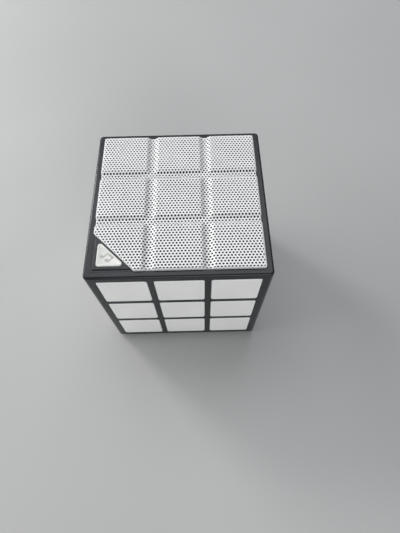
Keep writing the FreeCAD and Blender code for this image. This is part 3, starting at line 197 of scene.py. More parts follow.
def circuit(name, mask, trace):
    """A solder-masked board: mask, slightly raised tracks and bare pads."""
    s = Shader(name)
    cells = s.add("ShaderNodeTexVoronoi", distance="CHEBYCHEV", feature="F1")
    cells.inputs["Scale"].default_value = 1.0 / (2.4 * MM)
    s.link(s.place, cells.inputs["Vector"])
    steps = s.ramp(cells.outputs["Distance"], (0.36, (0, 0, 0)), (0.40, (1, 1, 1)))
    s.color(s.mix(mask, trace, steps))
    s.rough(s.span(s.noise(1.5 * MM), 0.26, 0.40))
    s.bump(cells.outputs["Distance"], 0.02 * MM)
    return s.material


def woven(name, color, pitch, rough=0.9):
    """Plain-woven cloth: two crossing sets of threads."""
    s = Shader(name)
    threads = []
    for axis in ("X", "Y"):
        wave = s.add("ShaderNodeTexWave", wave_type="BANDS", bands_direction=axis)
        wave.inputs["Scale"].default_value = WAVE_PERIOD / pitch
        wave.inputs["Distortion"].default_value = 0.4
        s.link(s.place, wave.inputs["Vector"])
        threads.append(wave.outputs["Fac"])
    weave = s.math("MAXIMUM", *threads)
    s.color(s.ramp(weave, (0.2, tint(color, 0.5)), (0.9, tint(color, 1.4))))
    s.rough(s.span(weave, rough * 0.9, rough))
    s.bump(weave, 0.08 * MM)
    return s.material


TILE_PITCH = 24.65 * MM
TILE_MIDDLE_Z = 15.75 * MM
TILE_HALF = 10.85 * MM
TILE_BORDER = 1.5 * MM
TILE_SHIFT = 4.5 * TILE_PITCH   # keeps the modulo positive and its middle on a tile's middle
OPAL, OPAL_PALE, OPAL_EDGE_HIGHLIGHT = (0.76, 0.76, 0.745), (0.82, 0.82, 0.805), (0.88, 0.89, 0.90)


def milky(name, across):
    """Opal acrylic for the light panels: flow marks, and a painted highlight, paler and bluer, along
    each tile's edges.
    """
    s = Shader(name).set(Subsurface_Weight=0.3, Subsurface_Scale=0.004, IOR=1.49,
                         Subsurface_Radius=(1.0, 0.95, 0.9), Coat_Weight=0.2, Coat_Roughness=0.15)
    axes = s.add("ShaderNodeSeparateXYZ")
    s.link(s.place, axes.inputs["Vector"])
    reach = []
    for axis, middle in ((across, 0.0), ("Z", TILE_MIDDLE_Z)):
        shifted = s.math("ADD", axes.outputs[axis], TILE_SHIFT - middle)
        wrapped = s.math("SUBTRACT", s.math("MODULO", shifted, TILE_PITCH), TILE_PITCH / 2)
        reach.append(s.math("ABSOLUTE", wrapped, 0.0))
    # a band along each tile's edges is mixed to a paler, bluer tint: painted highlight for the lit tile
    # edges
    painted_edge_highlight = s.span(s.math("MAXIMUM", *reach), 0, 1, TILE_HALF - TILE_BORDER, TILE_HALF)
    flow = s.noise(14 * MM, 3, 0.5, (1, 1, 0.35))
    s.color(s.mix(s.drift(flow, OPAL, OPAL_PALE), OPAL_EDGE_HIGHLIGHT, painted_edge_highlight))
    s.rough(s.span(s.noise(5 * MM, 4), 0.30, 0.42))
    s.bump(s.noise(0.3 * MM, 2), 0.0015 * MM, s.bump(flow, 0.02 * MM))
    return s.material


def powder_coat():
    """White powder coat: orange peel, a slow drift of tone and uneven gloss."""
    s = Shader("white_powder_coat").set(Coat_Weight=0.15, Coat_Roughness=0.3)
    s.color(s.drift(s.noise(16 * MM, 5, 0.6), (0.69, 0.69, 0.69), (0.76, 0.76, 0.755)))
    s.rough(s.span(s.noise(2 * MM, 3), 0.36, 0.50))
    s.bump(s.noise(0.35 * MM, 3), 0.006 * MM)
    return s.material


def cream():
    """The nameplate's cream plastic under a thin gloss."""
    s = Shader("cream_nameplate").set(Coat_Weight=0.1, Coat_Roughness=0.3)
    s.color(s.drift(s.noise(3 * MM, 4), (0.60, 0.60, 0.565), (0.66, 0.66, 0.625)))
    s.rough(s.span(s.noise(1.2 * MM, 3), 0.40, 0.55))
    s.bump(s.noise(0.2 * MM, 2), 0.003 * MM)
    return s.material


BLACK = (0.007, 0.0085, 0.0105)
DUST = (0.16, 0.16, 0.155)


def black_shell(name, rough):
    """Satin black moulding: spark texture, a little dust, paler where it is handled."""
    s = Shader(name).set(IOR=1.5, Specular_IOR_Level=0.3)
    handled = s.ramp(s.noise(11 * MM, 5, 0.6), (0.35, BLACK), (0.75, tint(BLACK, 1.7)))
    specks = s.span(s.noise(0.35 * MM, 1), 0, 0.5, 0.74, 0.8)
    s.color(s.mix(handled, DUST, specks))
    smears = s.noise(6 * MM, 4, 0.6)
    s.rough(s.span(smears, rough * 0.85, rough * 1.2))
    s.bump(s.noise(0.22 * MM, 2), 0.004 * MM, s.bump(smears, 0.01 * MM))
    return s.material


def light_pipe():
    """Clear moulded acrylic for the indicator's light pipe."""
    s = Shader("clear_light_pipe").set(Transmission_Weight=0.8, IOR=1.49)
    s.color(s.drift(s.noise(1 * MM), (0.80, 0.84, 0.84), (0.88, 0.90, 0.90)))
    s.rough(s.span(s.noise(0.6 * MM), 0.12, 0.25))
    s.bump(s.noise(0.3 * MM), 0.004 * MM)
    return s.material


MATERIALS = {
    "frame_black": black_shell("satin_black_frame", 0.23),
    "deck_black": black_shell("satin_black_deck", 0.23),
    "diffuser": milky("opal_tiles_front", "X"),
    "baffle_white": moulded("white_baffle", (0.80, 0.80, 0.78), 0.6, vary=0.04),
    "led_board": circuit("white_led_board", (0.80, 0.80, 0.77), (0.62, 0.62, 0.60)),
    "led": moulded("led_phosphor", (0.85, 0.66, 0.12), 0.35, vary=0.08, grain=0.1 * MM),
    "grille_white": powder_coat(),
    "cloth": woven("acoustic_cloth", (0.012, 0.012, 0.013), 0.35 * MM),
    "nameplate": cream(),
    "basket": moulded("black_painted_steel", (0.02, 0.02, 0.021), 0.4, height=0.008 * MM),
    "zinc_steel": metal("zinc_plate", (0.62, 0.61, 0.57), 0.35),
    "ferrite": moulded("ferrite", (0.05, 0.05, 0.053), 0.65, grain=0.4 * MM, height=0.02 * MM),
    "paper": moulded("paper_cone", (0.035, 0.034, 0.033), 0.85, grain=0.5 * MM, height=0.04 * MM),
    "former": moulded("amber_film", (0.45, 0.22, 0.05), 0.3),
    "copper": metal("enamelled_copper", (0.72, 0.33, 0.14), 0.3, brushed=(0.1, 0.1, 4)),
    "surround_rubber": moulded("butyl_rubber", (0.02, 0.02, 0.02), 0.55),
    "spider": woven("resin_cloth", (0.50, 0.30, 0.10), 0.5 * MM, 0.7),
    "foam": moulded("closed_cell_foam", (0.03, 0.03, 0.03), 0.9, grain=0.5 * MM, height=0.06 * MM),
    "terminal": moulded("phenolic", (0.20, 0.10, 0.04), 0.5),
    "chamber": moulded("black_abs", (0.035, 0.035, 0.038), 0.5),
    "board_green": circuit("green_board", (0.012, 0.11, 0.045), (0.02, 0.17, 0.07)),
    "module_can": metal("tinned_can", (0.66, 0.66, 0.66), 0.28, brushed=(1, 6, 1)),
    "chip": moulded("epoxy", (0.02, 0.02, 0.02), 0.55),
    "inductor": moulded("moulded_ferrite", (0.07, 0.07, 0.07), 0.6, height=0.01 * MM),
    "socket": moulded("natural_nylon", (0.74, 0.70, 0.58), 0.45, vary=0.05),
    "panel_black": black_shell("satin_black_panel", 0.46),
    "button": moulded("soft_touch_black", (0.035, 0.036, 0.039), 0.55, height=0.006 * MM),
    "switch_metal": metal("tinplate", (0.60, 0.60, 0.58), 0.35),
    "knob": moulded("black_acetal", (0.05, 0.05, 0.054), 0.38),
    "port_metal": metal("nickel_shell", (0.64, 0.63, 0.61), 0.25, brushed=(1, 0.3, 1)),
    "port_tongue": moulded("black_tongue", (0.015, 0.015, 0.015), 0.5),
    "jack": moulded("black_nylon", (0.02, 0.02, 0.02), 0.45),
    "base": moulded("textured_base", (0.03, 0.03, 0.033), 0.6, grain=0.4 * MM, height=0.02 * MM),
    "foot_rubber": moulded("matt_rubber", (0.028, 0.028, 0.028), 0.8, height=0.008 * MM),
    "screw": metal("black_zinc", (0.10, 0.10, 0.105), 0.35),
    "cell": metal("foil_pouch", (0.55, 0.58, 0.62), 0.4),
    "tape": moulded("foam_tape", (0.70, 0.70, 0.64), 0.8, vary=0.05),
    "wire": moulded("silicone_wire", (0.40, 0.02, 0.02), 0.5),
    "lens": light_pipe(),
}
SIDE_TILES = milky("opal_tiles_side", "Y")
SIDE_PANELS = ("light_panel_left", "light_panel_right")


def paint_nodes():
    """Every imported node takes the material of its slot."""
    for entry in frame["record"]["subparts"]:
        name = entry["node"]
        material = SIDE_TILES if name in SIDE_PANELS else MATERIALS[entry["material_slot"]]
        slots = frame["nodes"][name].data.materials
        slots.clear()
        slots.append(material)


paint_nodes()


# --------------------------------------------------------------- mesh helpers


def add_object(name, data):
    """Puts a new object with this data in the scene."""
    thing = bpy.data.objects.new(name, data)
    bpy.context.scene.collection.objects.link(thing)
    return thing


def mesh_of(bm, name):
    """The mesh of a finished bmesh, which is freed."""
    mesh = bpy.data.meshes.new(name)
    bm.to_mesh(mesh)
    bm.free()
    return mesh


def piece(name, mesh, slot, body="housing"):
    """Puts a finished mesh in the scene as a piece that rides on a body."""
    thing = add_object(name, mesh)
    mesh.materials.append(MATERIALS[slot])
    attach(thing, body)
    return thing


def apply_modifiers(thing):
    """Bakes the thing's modifiers into its mesh."""
    graph = bpy.context.evaluated_depsgraph_get()
    baked = bpy.data.meshes.new_from_object(thing.evaluated_get(graph))
    thing.modifiers.clear()
    thing.data = baked


def smooth(mesh, angle=35):
    """Smooth shading, but sharp where faces meet at more than the angle in degrees."""
    mesh.polygons.foreach_set("use_smooth", [True] * len(mesh.polygons))
    mesh.set_sharp_from_angle(angle=math.radians(angle))


def thicken(thing, thickness):
    """Gives a modelled upper face its thickness downwards."""
    skin = thing.modifiers.new("thickness", "SOLIDIFY")
    skin.thickness = thickness
    skin.offset = -1
    apply_modifiers(thing)
    smooth(thing.data, 40)


def extrude(bm, base, shift):
    """A prism from a base face on these vertices, in the direction of the shift."""
    grown = bmesh.ops.extrude_face_region(bm, geom=[bm.faces.new(base)])["geom"]
    tops = [item for item in grown if isinstance(item, bmesh.types.BMVert)]
    bmesh.ops.translate(bm, verts=tops, vec=shift)


def cut_away(bm, point, outwards):
    """Removes everything on the outer side of a plane."""
    everything = bm.verts[:] + bm.edges[:] + bm.faces[:]
    bmesh.ops.bisect_plane(bm, geom=everything, plane_co=point, plane_no=outwards,
                           clear_outer=True)


def least_sum(node_name):
    """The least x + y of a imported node: where its front left corner is cut off."""
    return min(v.co.x + v.co.y for v in frame["nodes"][node_name].data.vertices)


# --------------------------------------------------------------------- grille

HOLE_PITCH = 1.5 * MM
HOLE_RADIUS = 0.5 * MM
HOLE_SIDES = 12
SHEET = 0.4 * MM
CORNER_SUM = -least_sum("grille")   # the corner is cut where x + y = -CORNER_SUM
GROOVE_AT = 12.7 * MM
GROOVE_HALF = 2.9 * MM
GROOVE_FLOOR_HALF = 0.7 * MM
GROOVE_DEEP = 1.2 * MM
CROWN = 0.18 * MM
FOLD_RADIUS = 0.9 * MM
SCALLOP = 0.15 * MM         # how far the grooves draw the skirt in
SKIRT_LOW = 0.15 * MM       # how far the skirt's edge stays above the deck
SPARE_ROWS = 5              # rows of holes tried beyond the box, for the folded skirt
WELDS_PER_MM = 50           # steps that corners are rounded to, so that cells share them

grille_low, grille_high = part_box("grille")
TALL = grille_high.z - grille_low.z - SKIRT_LOW     # from the skirt's edge to the top
QUARTER = FOLD_RADIUS * math.pi / 2     # flat length that the fold's quarter turn takes up


def fold_sides():
    """Where the sheet starts to fold down: sides as (start, end, outward direction)."""
    reach = grille_high.x - FOLD_RADIUS
    far = CORNER_SUM - FOLD_RADIUS * math.sqrt(2) - reach
    plan = ((-far, -reach), (reach, -reach), (reach, reach), (-reach, reach), (-reach, -far))
    corners = [Vector(corner) for corner in plan]
    sides = []
    for start, end in zip(corners, corners[1:] + corners[:1]):
        way = (end - start).normalized()
        sides.append((start, end, Vector((way.y, -way.x))))
    return sides


FOLD_SIDES = fold_sides()


def beyond_fold(point):
    """(distance outside the fold line, nearest point on it, outward direction)."""
    if all(outward.dot(point - start) <= 0 for start, _, outward in FOLD_SIDES):
        return 0.0, point, Vector((0, 0))
    nearest = []
    for start, end, _ in FOLD_SIDES:
        way = end - start
        part = min(1.0, max(0.0, (point - start).dot(way) / way.length_squared))
        nearest.append(start + way * part)
    near = min(nearest, key=lambda spot: (point - spot).length)
    return (point - near).length, near, (point - near).normalized()


def groove_share(across):
    """0 on a pillow, 1 on a groove's floor, for a distance from the groove's middle."""
    part = (GROOVE_HALF - abs(across)) / (GROOVE_HALF - GROOVE_FLOOR_HALF)
    part = min(1.0, max(0.0, part))
    return part * part * (3 - 2 * part)


def sheet_drop(x, y):
    """(depth below the pillows' crowns, groove share) of the pressed sheet."""
    gx = max(groove_share(x - GROOVE_AT), groove_share(x + GROOVE_AT))
    gy = max(groove_share(y - GROOVE_AT), groove_share(y + GROOVE_AT))
    groove = 1 - (1 - gx) * (1 - gy)
    bow = 0.0
    for size in (x, y):
        middle = 0.0 if abs(size) < GROOVE_AT else math.copysign(2 * GROOVE_AT, size)
        bow += min(1.0, abs(size - middle) / GROOVE_AT) ** 2 / 2
    return groove * GROOVE_DEEP + (1 - groove) * bow * CROWN, groove


def formed(point):
    """Where a point of the flat sheet ends up once it is pressed and folded."""
    gap, near, out = beyond_fold(point)
    drop, groove = sheet_drop(near.x, near.y)
    top = grille_high.z - drop
    angle = min(gap, QUARTER) / FOLD_RADIUS
    spot = near + out * (FOLD_RADIUS - groove * SCALLOP) * math.sin(angle)
    down = FOLD_RADIUS * (1 - math.cos(angle)) + max(0.0, gap - QUARTER)
    room = top - grille_low.z - SKIRT_LOW
    return Vector((spot.x, spot.y, top - min(down, TALL) * room / TALL))


def hole_spots():
    """The holes' middles on the flat sheet, in staggered rows as far as the skirt's edge."""
    rise = HOLE_PITCH * math.sqrt(3) / 2
    skirt = QUARTER + TALL - FOLD_RADIUS
    count = int(grille_high.x / rise) + SPARE_ROWS
    for row in range(-count, count + 1):
        for column in range(-count, count + 1):
            x, y = (column + 0.5 * (row % 2)) * HOLE_PITCH, row * rise
            gap, _, _ = beyond_fold(Vector((x, y)))
            if gap <= skirt - HOLE_RADIUS:
                yield x, y


def make_grille():
    """The perforated sheet: a hexagonal cell of twelve quads round each hole."""
    bm = bmesh.new()
    corners = {}

    def corner(x, y):
        """The vertex that the cells meeting at a point of the flat sheet share."""
        key = (round(x / MM * WELDS_PER_MM), round(y / MM * WELDS_PER_MM))
        if key not in corners:
            corners[key] = bm.verts.new(formed(Vector((x, y))))
        return corners[key]

    apothem = HOLE_PITCH / 2
    for x, y in hole_spots():
        edge, hole = [], []
        for side in range(HOLE_SIDES):
            angle = 2 * math.pi * side / HOLE_SIDES
            reach = apothem / math.cos((angle + math.pi / 6) % (math.pi / 3) - math.pi / 6)
            c, s = math.cos(angle), math.sin(angle)
            edge.append(corner(x + reach * c, y + reach * s))
            hole.append(bm.verts.new(formed(Vector((x + HOLE_RADIUS * c, y + HOLE_RADIUS * s)))))
        for side in range(HOLE_SIDES):
            after = (side + 1) % HOLE_SIDES
            ring = (edge[side], edge[after], hole[after], hole[side])
            if len(set(ring)) == 4:
                bm.faces.new(ring)
    bm.normal_update()
    thing = piece("grille_perforated", mesh_of(bm, "grille_perforated"), "grille_white")
    thicken(thing, SHEET)
    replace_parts(thing, "grille")


make_grille()


# ------------------------------------------------------------- flat outlines


ROUND_STEPS = 6
OVAL_STEPS = 20
BAND_STEPS = 14


def rounded_outline(corners, radius, inset):
    """A convex anticlockwise outline moved inwards by inset, with rounded corners."""
    points = [Vector(corner) for corner in corners]
    result = []
    for i, here in enumerate(points):
        before, after = points[i - 1], points[(i + 1) % len(points)]
        way_in, way_out = (here - before).normalized(), (after - here).normalized()
        half_turn = way_in.angle(way_out) / 2
        middle = here + (way_out - way_in).normalized() * (radius / math.cos(half_turn))
        start = math.atan2(-way_in.x, way_in.y)
        for k in range(ROUND_STEPS + 1):
            angle = start + 2 * half_turn * k / ROUND_STEPS
            result.append(middle + (radius - inset) * Vector((math.cos(angle), math.sin(angle))))
    return result


def loft(name, rings, slot):
    """A mesh through rings of equally many points, capped at both ends."""
    bm = bmesh.new()
    layers = [[bm.verts.new(point) for point in ring] for ring in rings]
    count = len(layers[0])
    for low, high in zip(layers, layers[1:]):
        for i in range(count):
            after = (i + 1) % count
            bm.faces.new((low[i], low[after], high[after], high[i]))
    bm.faces.new(list(reversed(layers[0])))
    bm.faces.new(layers[-1])
    bmesh.ops.recalc_face_normals(bm, faces=bm.faces)
    mesh = mesh_of(bm, name)
    smooth(mesh, 30)
    return piece(name, mesh, slot)


def prisms(name, outlines, low, high, put, slot, body="housing", soft=0.0):
    """Several thin raised shapes in one mesh; put maps (u, v, height) to the frame."""
    bm = bmesh.new()
    for outline in outlines:
        base = [bm.verts.new(put(u, v, low)) for u, v in outline]
        extrude(bm, base, put(0, 0, high) - put(0, 0, low))
    bmesh.ops.recalc_face_normals(bm, faces=bm.faces)
    thing = piece(name, mesh_of(bm, name), slot, body)
    if soft:
        bevel = thing.modifiers.new("soft", "BEVEL")
        bevel.width = soft
        bevel.segments = 2
        bevel.limit_method = "ANGLE"
        apply_modifiers(thing)
    smooth(thing.data, 40)
    return thing


def oval(u, v, wide, high, turn):
    """An ellipse about (u, v) with half axes wide and high, turned by an angle in radians."""
    c, s = math.cos(turn), math.sin(turn)
    angles = [2 * math.pi * k / OVAL_STEPS for k in range(OVAL_STEPS)]
    spots = [(wide * math.cos(angle), high * math.sin(angle)) for angle in angles]
    return [(u + a * c - b * s, v + a * s + b * c) for a, b in spots]


def bar(u, v, wide, high):
    """A rectangle about (u, v)."""
    return [(u - wide / 2, v - high / 2), (u + wide / 2, v - high / 2),
            (u + wide / 2, v + high / 2), (u - wide / 2, v + high / 2)]


def arc_band(u, v, radius, thick, start, end):
    """A curved stroke about (u, v); angles in degrees."""
    angles = [math.radians(start + (end - start) * k / BAND_STEPS) for k in range(BAND_STEPS + 1)]
    outline = []
    for reach, way in ((radius + thick / 2, angles), (radius - thick / 2, reversed(angles))):
        outline += [(u + reach * math.cos(a), v + reach * math.sin(a)) for a in way]
    return outline


# ----------------------------------------------------------------- nameplate

PLATE_ROUND = 1.1 * MM
PLATE_SOFT = 0.22 * MM
LIP_WIDE = 0.55 * MM
LIP_HIGH = 0.12 * MM
LIP_FLAT = 0.6              # the level share of the lip's width; the rest slopes down
ROUND_MIDDLE = 0.3          # how far in a rounded edge's middle lies, as a share of its radius
HALF_TIP = math.radians(22.5)   # half the angle of the plate's two sharp corners
# the note's darker grey is painted shade for the shadows round its low relief
NOTE_PAINTED_SHADE = moulded("nameplate_note_shade", (0.38, 0.37, 0.34), 0.45, vary=0.05)
NOTE_SCALE = 1.15 * MM
NOTE_INSET = 4.15 * MM      # from the right-angled corner to the note's middle, each way
NOTE_SUNK, NOTE_HIGH = 0.02 * MM, 0.11 * MM
NOTE_STEP = 0.001 * MM      # overlapping parts of the note differ in height by this or more
NOTE_SOFT = 0.03 * MM


def make_nameplate():
    """The cream triangle: soft edge, a low lip round it and a shallow field."""
    low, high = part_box("nameplate")
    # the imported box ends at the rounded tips, so the sharp triangle is a little longer
    tip = PLATE_ROUND * (1 / math.tan(HALF_TIP) - 1)
    corners = [(low.x, low.y), (high.x + tip, low.y), (low.x, high.y + tip)]
    middle = PLATE_SOFT * ROUND_MIDDLE
    steps = ((0.0, low.z), (0.0, high.z - PLATE_SOFT), (middle, high.z - middle),
             (PLATE_SOFT, high.z), (PLATE_SOFT + LIP_WIDE * LIP_FLAT, high.z),
             (PLATE_SOFT + LIP_WIDE, high.z - LIP_HIGH))
    rings = [[Vector((p.x, p.y, z)) for p in rounded_outline(corners, PLATE_ROUND, inset)]
             for inset, z in steps]
    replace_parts(loft("nameplate_plate", rings, "nameplate"), "nameplate")
    return corners, high.z - LIP_HIGH


def make_note(corners, level):
    """A raised pair of joined quavers in the plate's middle, along its long edge, in a darker grey that
    is painted shade for their relief.
    """
    middle = Vector(corners[0]) + Vector((NOTE_INSET, NOTE_INSET))
    turn = -math.pi / 4
    c, s = math.cos(turn), math.sin(turn)

    def put(u, v, height):
        u, v = u * NOTE_SCALE, v * NOTE_SCALE
        return Vector((middle.x + u * c - v * s, middle.y + u * s + v * c, level + height))

    heads = [oval(-1.5, -1.0, 0.85, 0.6, 0.4), oval(1.1, -0.7, 0.85, 0.6, 0.4)]
    stems = [bar(-0.82, 0.25, 0.3, 2.3), bar(1.78, 0.55, 0.3, 2.3)]
    beam = [(-0.97, 1.0), (1.93, 1.3), (1.93, 1.95), (-0.97, 1.65)]
    for i, shape in enumerate([*heads, *stems, beam]):
        mark = prisms(f"nameplate_note_{i}", [shape], -NOTE_SUNK, NOTE_HIGH + i * NOTE_STEP,
                      put, "nameplate", soft=NOTE_SOFT)
        mark.data.materials[0] = NOTE_PAINTED_SHADE


make_note(*make_nameplate())


# --------------------------------------------------------------- rear symbols

INK = moulded("pale_print", (0.62, 0.63, 0.64), 0.5, vary=0.06)
PRINT = 0.02 * MM
ICON = 1.0 * MM             # one unit of the signs' shapes
STROKE = 0.34               # the width of solid strokes
LINE = 0.22                 # the width of drawn lines
POWER_ASIDE = 4.7 * MM
CHARGE_BELOW = 2.9 * MM
AUDIO_ASIDE, AUDIO_BELOW = 3.9 * MM, 5.9 * MM


def rear_print(name, node_name, across, up, shapes, body="housing"):
    """Symbols on a rear face, drawn as seen from behind the cube."""
    _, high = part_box(node_name)

    def put(u, v, height):
        return Vector((across - u * ICON, high.y + height, up + v * ICON))

    mark = prisms(name, shapes, -PRINT / 4, PRINT, put, "panel_black", body)
    mark.data.materials[0] = INK


def middle_of(node_name):
    """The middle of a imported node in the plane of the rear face, as (across, up)."""
    low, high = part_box(node_name)
    return (low.x + high.x) / 2, (low.z + high.z) / 2


def make_key_signs():
    """Minus, play with pause, and plus, each on its key."""
    minus = bar(0, 0, 1.7, STROKE)
    triangle = [(-0.25, -0.8), (0.95, 0.0), (-0.25, 0.8)]
    upright = [bar(0, side * 1.5 * STROKE, STROKE, 2 * STROKE) for side in (1, -1)]
    signs = {"volume_down": [minus], "play": [triangle, bar(-0.85, 0, STROKE, 1.6)],
             "volume_up": [minus, *upright]}
    for key, shapes in signs.items():
        across, up = middle_of(f"button_{key}")
        rear_print(f"sign_{key}", f"button_{key}", across, up, shapes, f"{key}_key")


def make_panel_signs():
    """Power beside its switch, a bolt above the charging port and headphones by the jack."""
    across, up = middle_of("power_switch_knob")
    rear_print("sign_power", "io_panel", across + POWER_ASIDE, up,
               [arc_band(0, 0, 0.75, LINE, 120, 420), bar(0, 0.7, LINE, 0.8)])
    across, _ = middle_of("charging_port")
    bolt = [(0.25, 0.9), (-0.5, -0.1), (-0.05, -0.1), (-0.25, -0.9), (0.5, 0.15), (0.05, 0.15)]
    rear_print("sign_charge", "io_panel", across, up - CHARGE_BELOW, [bolt])
    across, _ = middle_of("aux_jack")
    pads = [bar(side * 0.68, -0.28, 0.36, 0.56) for side in (-1, 1)]
    rear_print("sign_audio", "io_panel", across - AUDIO_ASIDE, up - AUDIO_BELOW,
               [arc_band(0, 0, 0.7, LINE, 0, 180), *pads])


make_key_signs()
make_panel_signs()


# --------------------------------------------------------------- screw heads

HEAD_RADIUS = 2.2 * MM
HEAD_THICK = 0.8 * MM
HEAD_SOFT = 0.45 * HEAD_THICK
SHANK_RADIUS = 1.1 * MM
SHANK_LONG = 11.0 * MM
TIP_RADIUS = 0.4 * SHANK_RADIUS
CROSS_LONG = 2.2 * MM
CROSS_WIDE = 0.5 * MM
CROSS_DEEP = 0.55 * MM
SCREW_SIDES = 32


def cross_outline(spot):
    """The plan of a cross recess about a screw's middle."""
    a, b = CROSS_LONG / 2, CROSS_WIDE / 2
    plan = ((a, -b), (a, b), (b, b), (b, a), (-b, a), (-b, b), (-a, b), (-a, -b), (-b, -b),
            (-b, -a), (b, -a), (b, -b))
    return [(spot[0] + u, spot[1] + v) for u, v in plan]


def turned_ring(bm, spot, reach, z):
    """One circle of a turned shape; with no reach it is a single vertex, repeated."""
    if reach == 0.0:
        return [bm.verts.new((*spot, z))] * SCREW_SIDES
    angles = [2 * math.pi * k / SCREW_SIDES for k in range(SCREW_SIDES)]
    return [bm.verts.new((spot[0] + reach * math.cos(angle), spot[1] + reach * math.sin(angle), z))
            for angle in angles]


def add_screw(bm, spot, face, facing):
    """A pan head with rounded edge and its shank, facing +1 or -1 along Z."""
    back = face - facing * HEAD_THICK
    tip = back - facing * SHANK_LONG
    middle = HEAD_SOFT * ROUND_MIDDLE
    profile = ((0.0, face), (HEAD_RADIUS - HEAD_SOFT, face),
               (HEAD_RADIUS - middle, face - facing * middle),
               (HEAD_RADIUS, face - facing * HEAD_SOFT), (HEAD_RADIUS, back),
               (SHANK_RADIUS, back), (SHANK_RADIUS, tip + facing * SHANK_RADIUS),
               (TIP_RADIUS, tip), (0.0, tip))
    rings = [turned_ring(bm, spot, reach, z) for reach, z in profile]
    for low, high in zip(rings, rings[1:]):
        for k in range(SCREW_SIDES):
            after = (k + 1) % SCREW_SIDES
            corners = list(dict.fromkeys((low[k], low[after], high[after], high[k])))
            if len(corners) > 2:
                bm.faces.new(corners)


def make_case_screws():
    """Pan heads with a cross recess: four up through the base, four down through the deck."""
    low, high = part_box("case_screws")
    bm, cutter = bmesh.new(), bmesh.new()
    for sx in (-1, 1):
        for sy in (-1, 1):
            spot = (sx * (high.x - HEAD_RADIUS), sy * (high.y - HEAD_RADIUS))
            for face, facing in ((low.z, -1), (high.z, 1)):
                add_screw(bm, spot, face, facing)
                outer = face + facing * CROSS_DEEP
                base = [cutter.verts.new((*point, outer)) for point in cross_outline(spot)]
                extrude(cutter, base, (0, 0, -facing * 2 * CROSS_DEEP))
    for solid in (bm, cutter):
        bmesh.ops.recalc_face_normals(solid, faces=solid.faces)
    screws = piece("case_screws_cross", mesh_of(bm, "case_screws_cross"), "screw")
    tool = add_object("cross_cutter", mesh_of(cutter, "cross_cutter"))
    cut = screws.modifiers.new("recess", "BOOLEAN")
    cut.object = tool
    cut.operation = "DIFFERENCE"
    cut.solver = "EXACT"
    bpy.context.view_layer.update()
    apply_modifiers(screws)
    bpy.data.objects.remove(tool)
    smooth(screws.data)
    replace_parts(screws, "case_screws")


make_case_screws()


# ------------------------------------------------------------ acoustic cloth

CLOTH_CELLS = 30
CLOTH_SAG = 0.15 * MM


def make_cloth():
    """The black cloth stretched under the grille, dipping a little over the driver."""
    low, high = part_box("acoustic_cloth")
    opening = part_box("driver_surround")[1].x
    corner = least_sum("acoustic_cloth")
    bm = bmesh.new()
    bmesh.ops.create_grid(bm, x_segments=CLOTH_CELLS, y_segments=CLOTH_CELLS, size=high.x)
    cut_away(bm, (corner / 2, corner / 2, 0), (-1, -1, 0))
    for vertex in bm.verts:
        reach = min(1.0, vertex.co.length / opening)
        vertex.co.z = high.z - CLOTH_SAG * (1 - reach * reach)
    cloth = piece("acoustic_cloth_sheet", mesh_of(bm, "acoustic_cloth_sheet"), "cloth")
    thicken(cloth, high.z - low.z)
    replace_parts(cloth, "acoustic_cloth")


make_cloth()


# ---------------------------------------------------------- driver suspension

ARCS = 12


def arc_of(source, name, middle, half):
    """The part of a mesh within half an arc either side of the middle angle."""
    bm = bmesh.new()
    bm.from_mesh(source)
    for side in (-1, 1):
        edge = middle + side * half
        cut_away(bm, (0, 0, 0), Vector((-math.sin(edge), math.cos(edge), 0)) * side)
    mesh = mesh_of(bm, name)
    mesh.materials.clear()
    return mesh


def make_flexing_ring(node_name, slot):
    """A ring cut into equal arcs, each its own object in the ring's material."""
    half = math.pi / ARCS
    for i in range(ARCS):
        middle = 2 * half * i
        name = f"{node_name}_arc_{i:02d}"
        arc = add_object(name, arc_of(frame["nodes"][node_name].data, name, middle, half))
        arc.data.materials.append(MATERIALS[slot])
        smooth(arc.data)
        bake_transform(arc)
        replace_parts(arc, node_name)


def make_suspension():
    """The rubber surround and the cloth spider between their glued edges, each cut into equal arcs."""
    make_flexing_ring("driver_surround", "surround_rubber")
    make_flexing_ring("driver_spider", "spider")


make_suspension()


# --------------------------------------------------------------------- studio

CAMERA_AT = Vector((8.77, -106.318, 220.887)) * MM
CAMERA_RIGHT = Vector((0.99972, -0.02166, -0.0094))
CAMERA_FORWARD = Vector((0.00134, 0.44967, -0.89319))
LENS = 25.52
SENSOR = 36.0
NEAREST = 0.01
FLOOR_HALF = 3.0
FLOOR_GREY, FLOOR_PALE = (0.36, 0.36, 0.355), (0.40, 0.40, 0.395)
SKY, SKY_STRENGTH = (0.86, 0.92, 1.0), 0.32
WARM, COOL, SOFT_WARM = (1.0, 0.99, 0.97), (0.95, 0.97, 1.0), (1.0, 0.99, 0.965)
LIT = Vector((0, 0, 0.04))      # the cube's middle, which every lamp faces


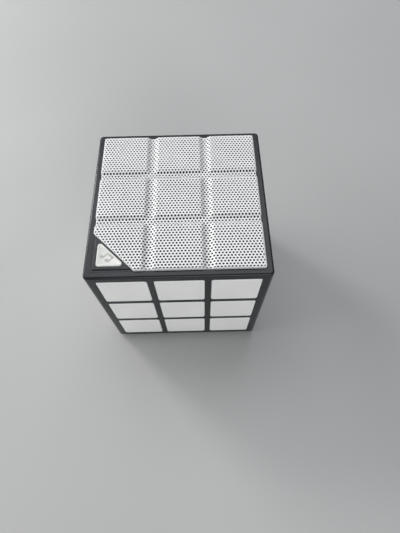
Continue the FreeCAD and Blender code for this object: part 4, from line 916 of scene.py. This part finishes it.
def make_camera():
    """In front of the cube and above it, looking steeply down."""
    data = bpy.data.cameras.new("camera")
    data.lens = LENS
    data.sensor_width = SENSOR
    data.sensor_fit = "AUTO"
    data.clip_start = NEAREST
    camera = add_object("camera", data)
    back = -CAMERA_FORWARD.normalized()
    right = (CAMERA_RIGHT - back * CAMERA_RIGHT.dot(back)).normalized()
    turn = Matrix((right, back.cross(right), back)).transposed()
    camera.matrix_world = Matrix.Translation(CAMERA_AT) @ turn.to_4x4()
    bpy.context.scene.camera = camera


def area_light(name, at, size, watts, color):
    """A soft rectangular lamp that faces the cube."""
    data = bpy.data.lights.new(name, "AREA")
    data.shape = "RECTANGLE"
    data.size, data.size_y = size
    data.energy = watts
    data.color = color
    lamp = add_object(name, data)
    lamp.location = at
    lamp.rotation_euler = (LIT - Vector(at)).to_track_quat("-Z", "Y").to_euler()


def make_floor():
    """A wide, pale and slightly uneven floor."""
    bm = bmesh.new()
    bmesh.ops.create_grid(bm, x_segments=8, y_segments=8, size=FLOOR_HALF)
    floor = add_object("floor", mesh_of(bm, "floor"))
    s = Shader("pale_floor")
    s.color(s.drift(s.noise(0.3, 3), FLOOR_GREY, FLOOR_PALE))
    s.rough(s.span(s.noise(0.1), 0.6, 0.75))
    floor.data.materials.append(s.material)


def make_light():
    """A pale sky, a wide and a small window on the left, a lamp overhead and a front fill."""
    world = bpy.data.worlds.new("studio")
    world.use_nodes = True
    sky = world.node_tree.nodes["Background"]
    sky.inputs["Color"].default_value = (*SKY, 1)
    sky.inputs["Strength"].default_value = SKY_STRENGTH
    bpy.context.scene.world = world
    area_light("window", (-1.05, 0.25, 0.58), (1.3, 0.3), 10.0, WARM)
    area_light("high_window", (-0.75, 0.68, 0.73), (0.25, 0.25), 5.0, WARM)
    area_light("overhead", (0.0, 0.68, 1.36), (1.2, 0.9), 9.0, COOL)
    area_light("front_fill", (0.15, -1.25, 0.5), (0.9, 0.9), 8.0, SOFT_WARM)


def set_view():
    """Plain colours, without a film look."""
    view = bpy.context.scene.view_settings
    view.view_transform = "Standard"
    view.look = "None"


make_camera()
make_floor()
make_light()
set_view()
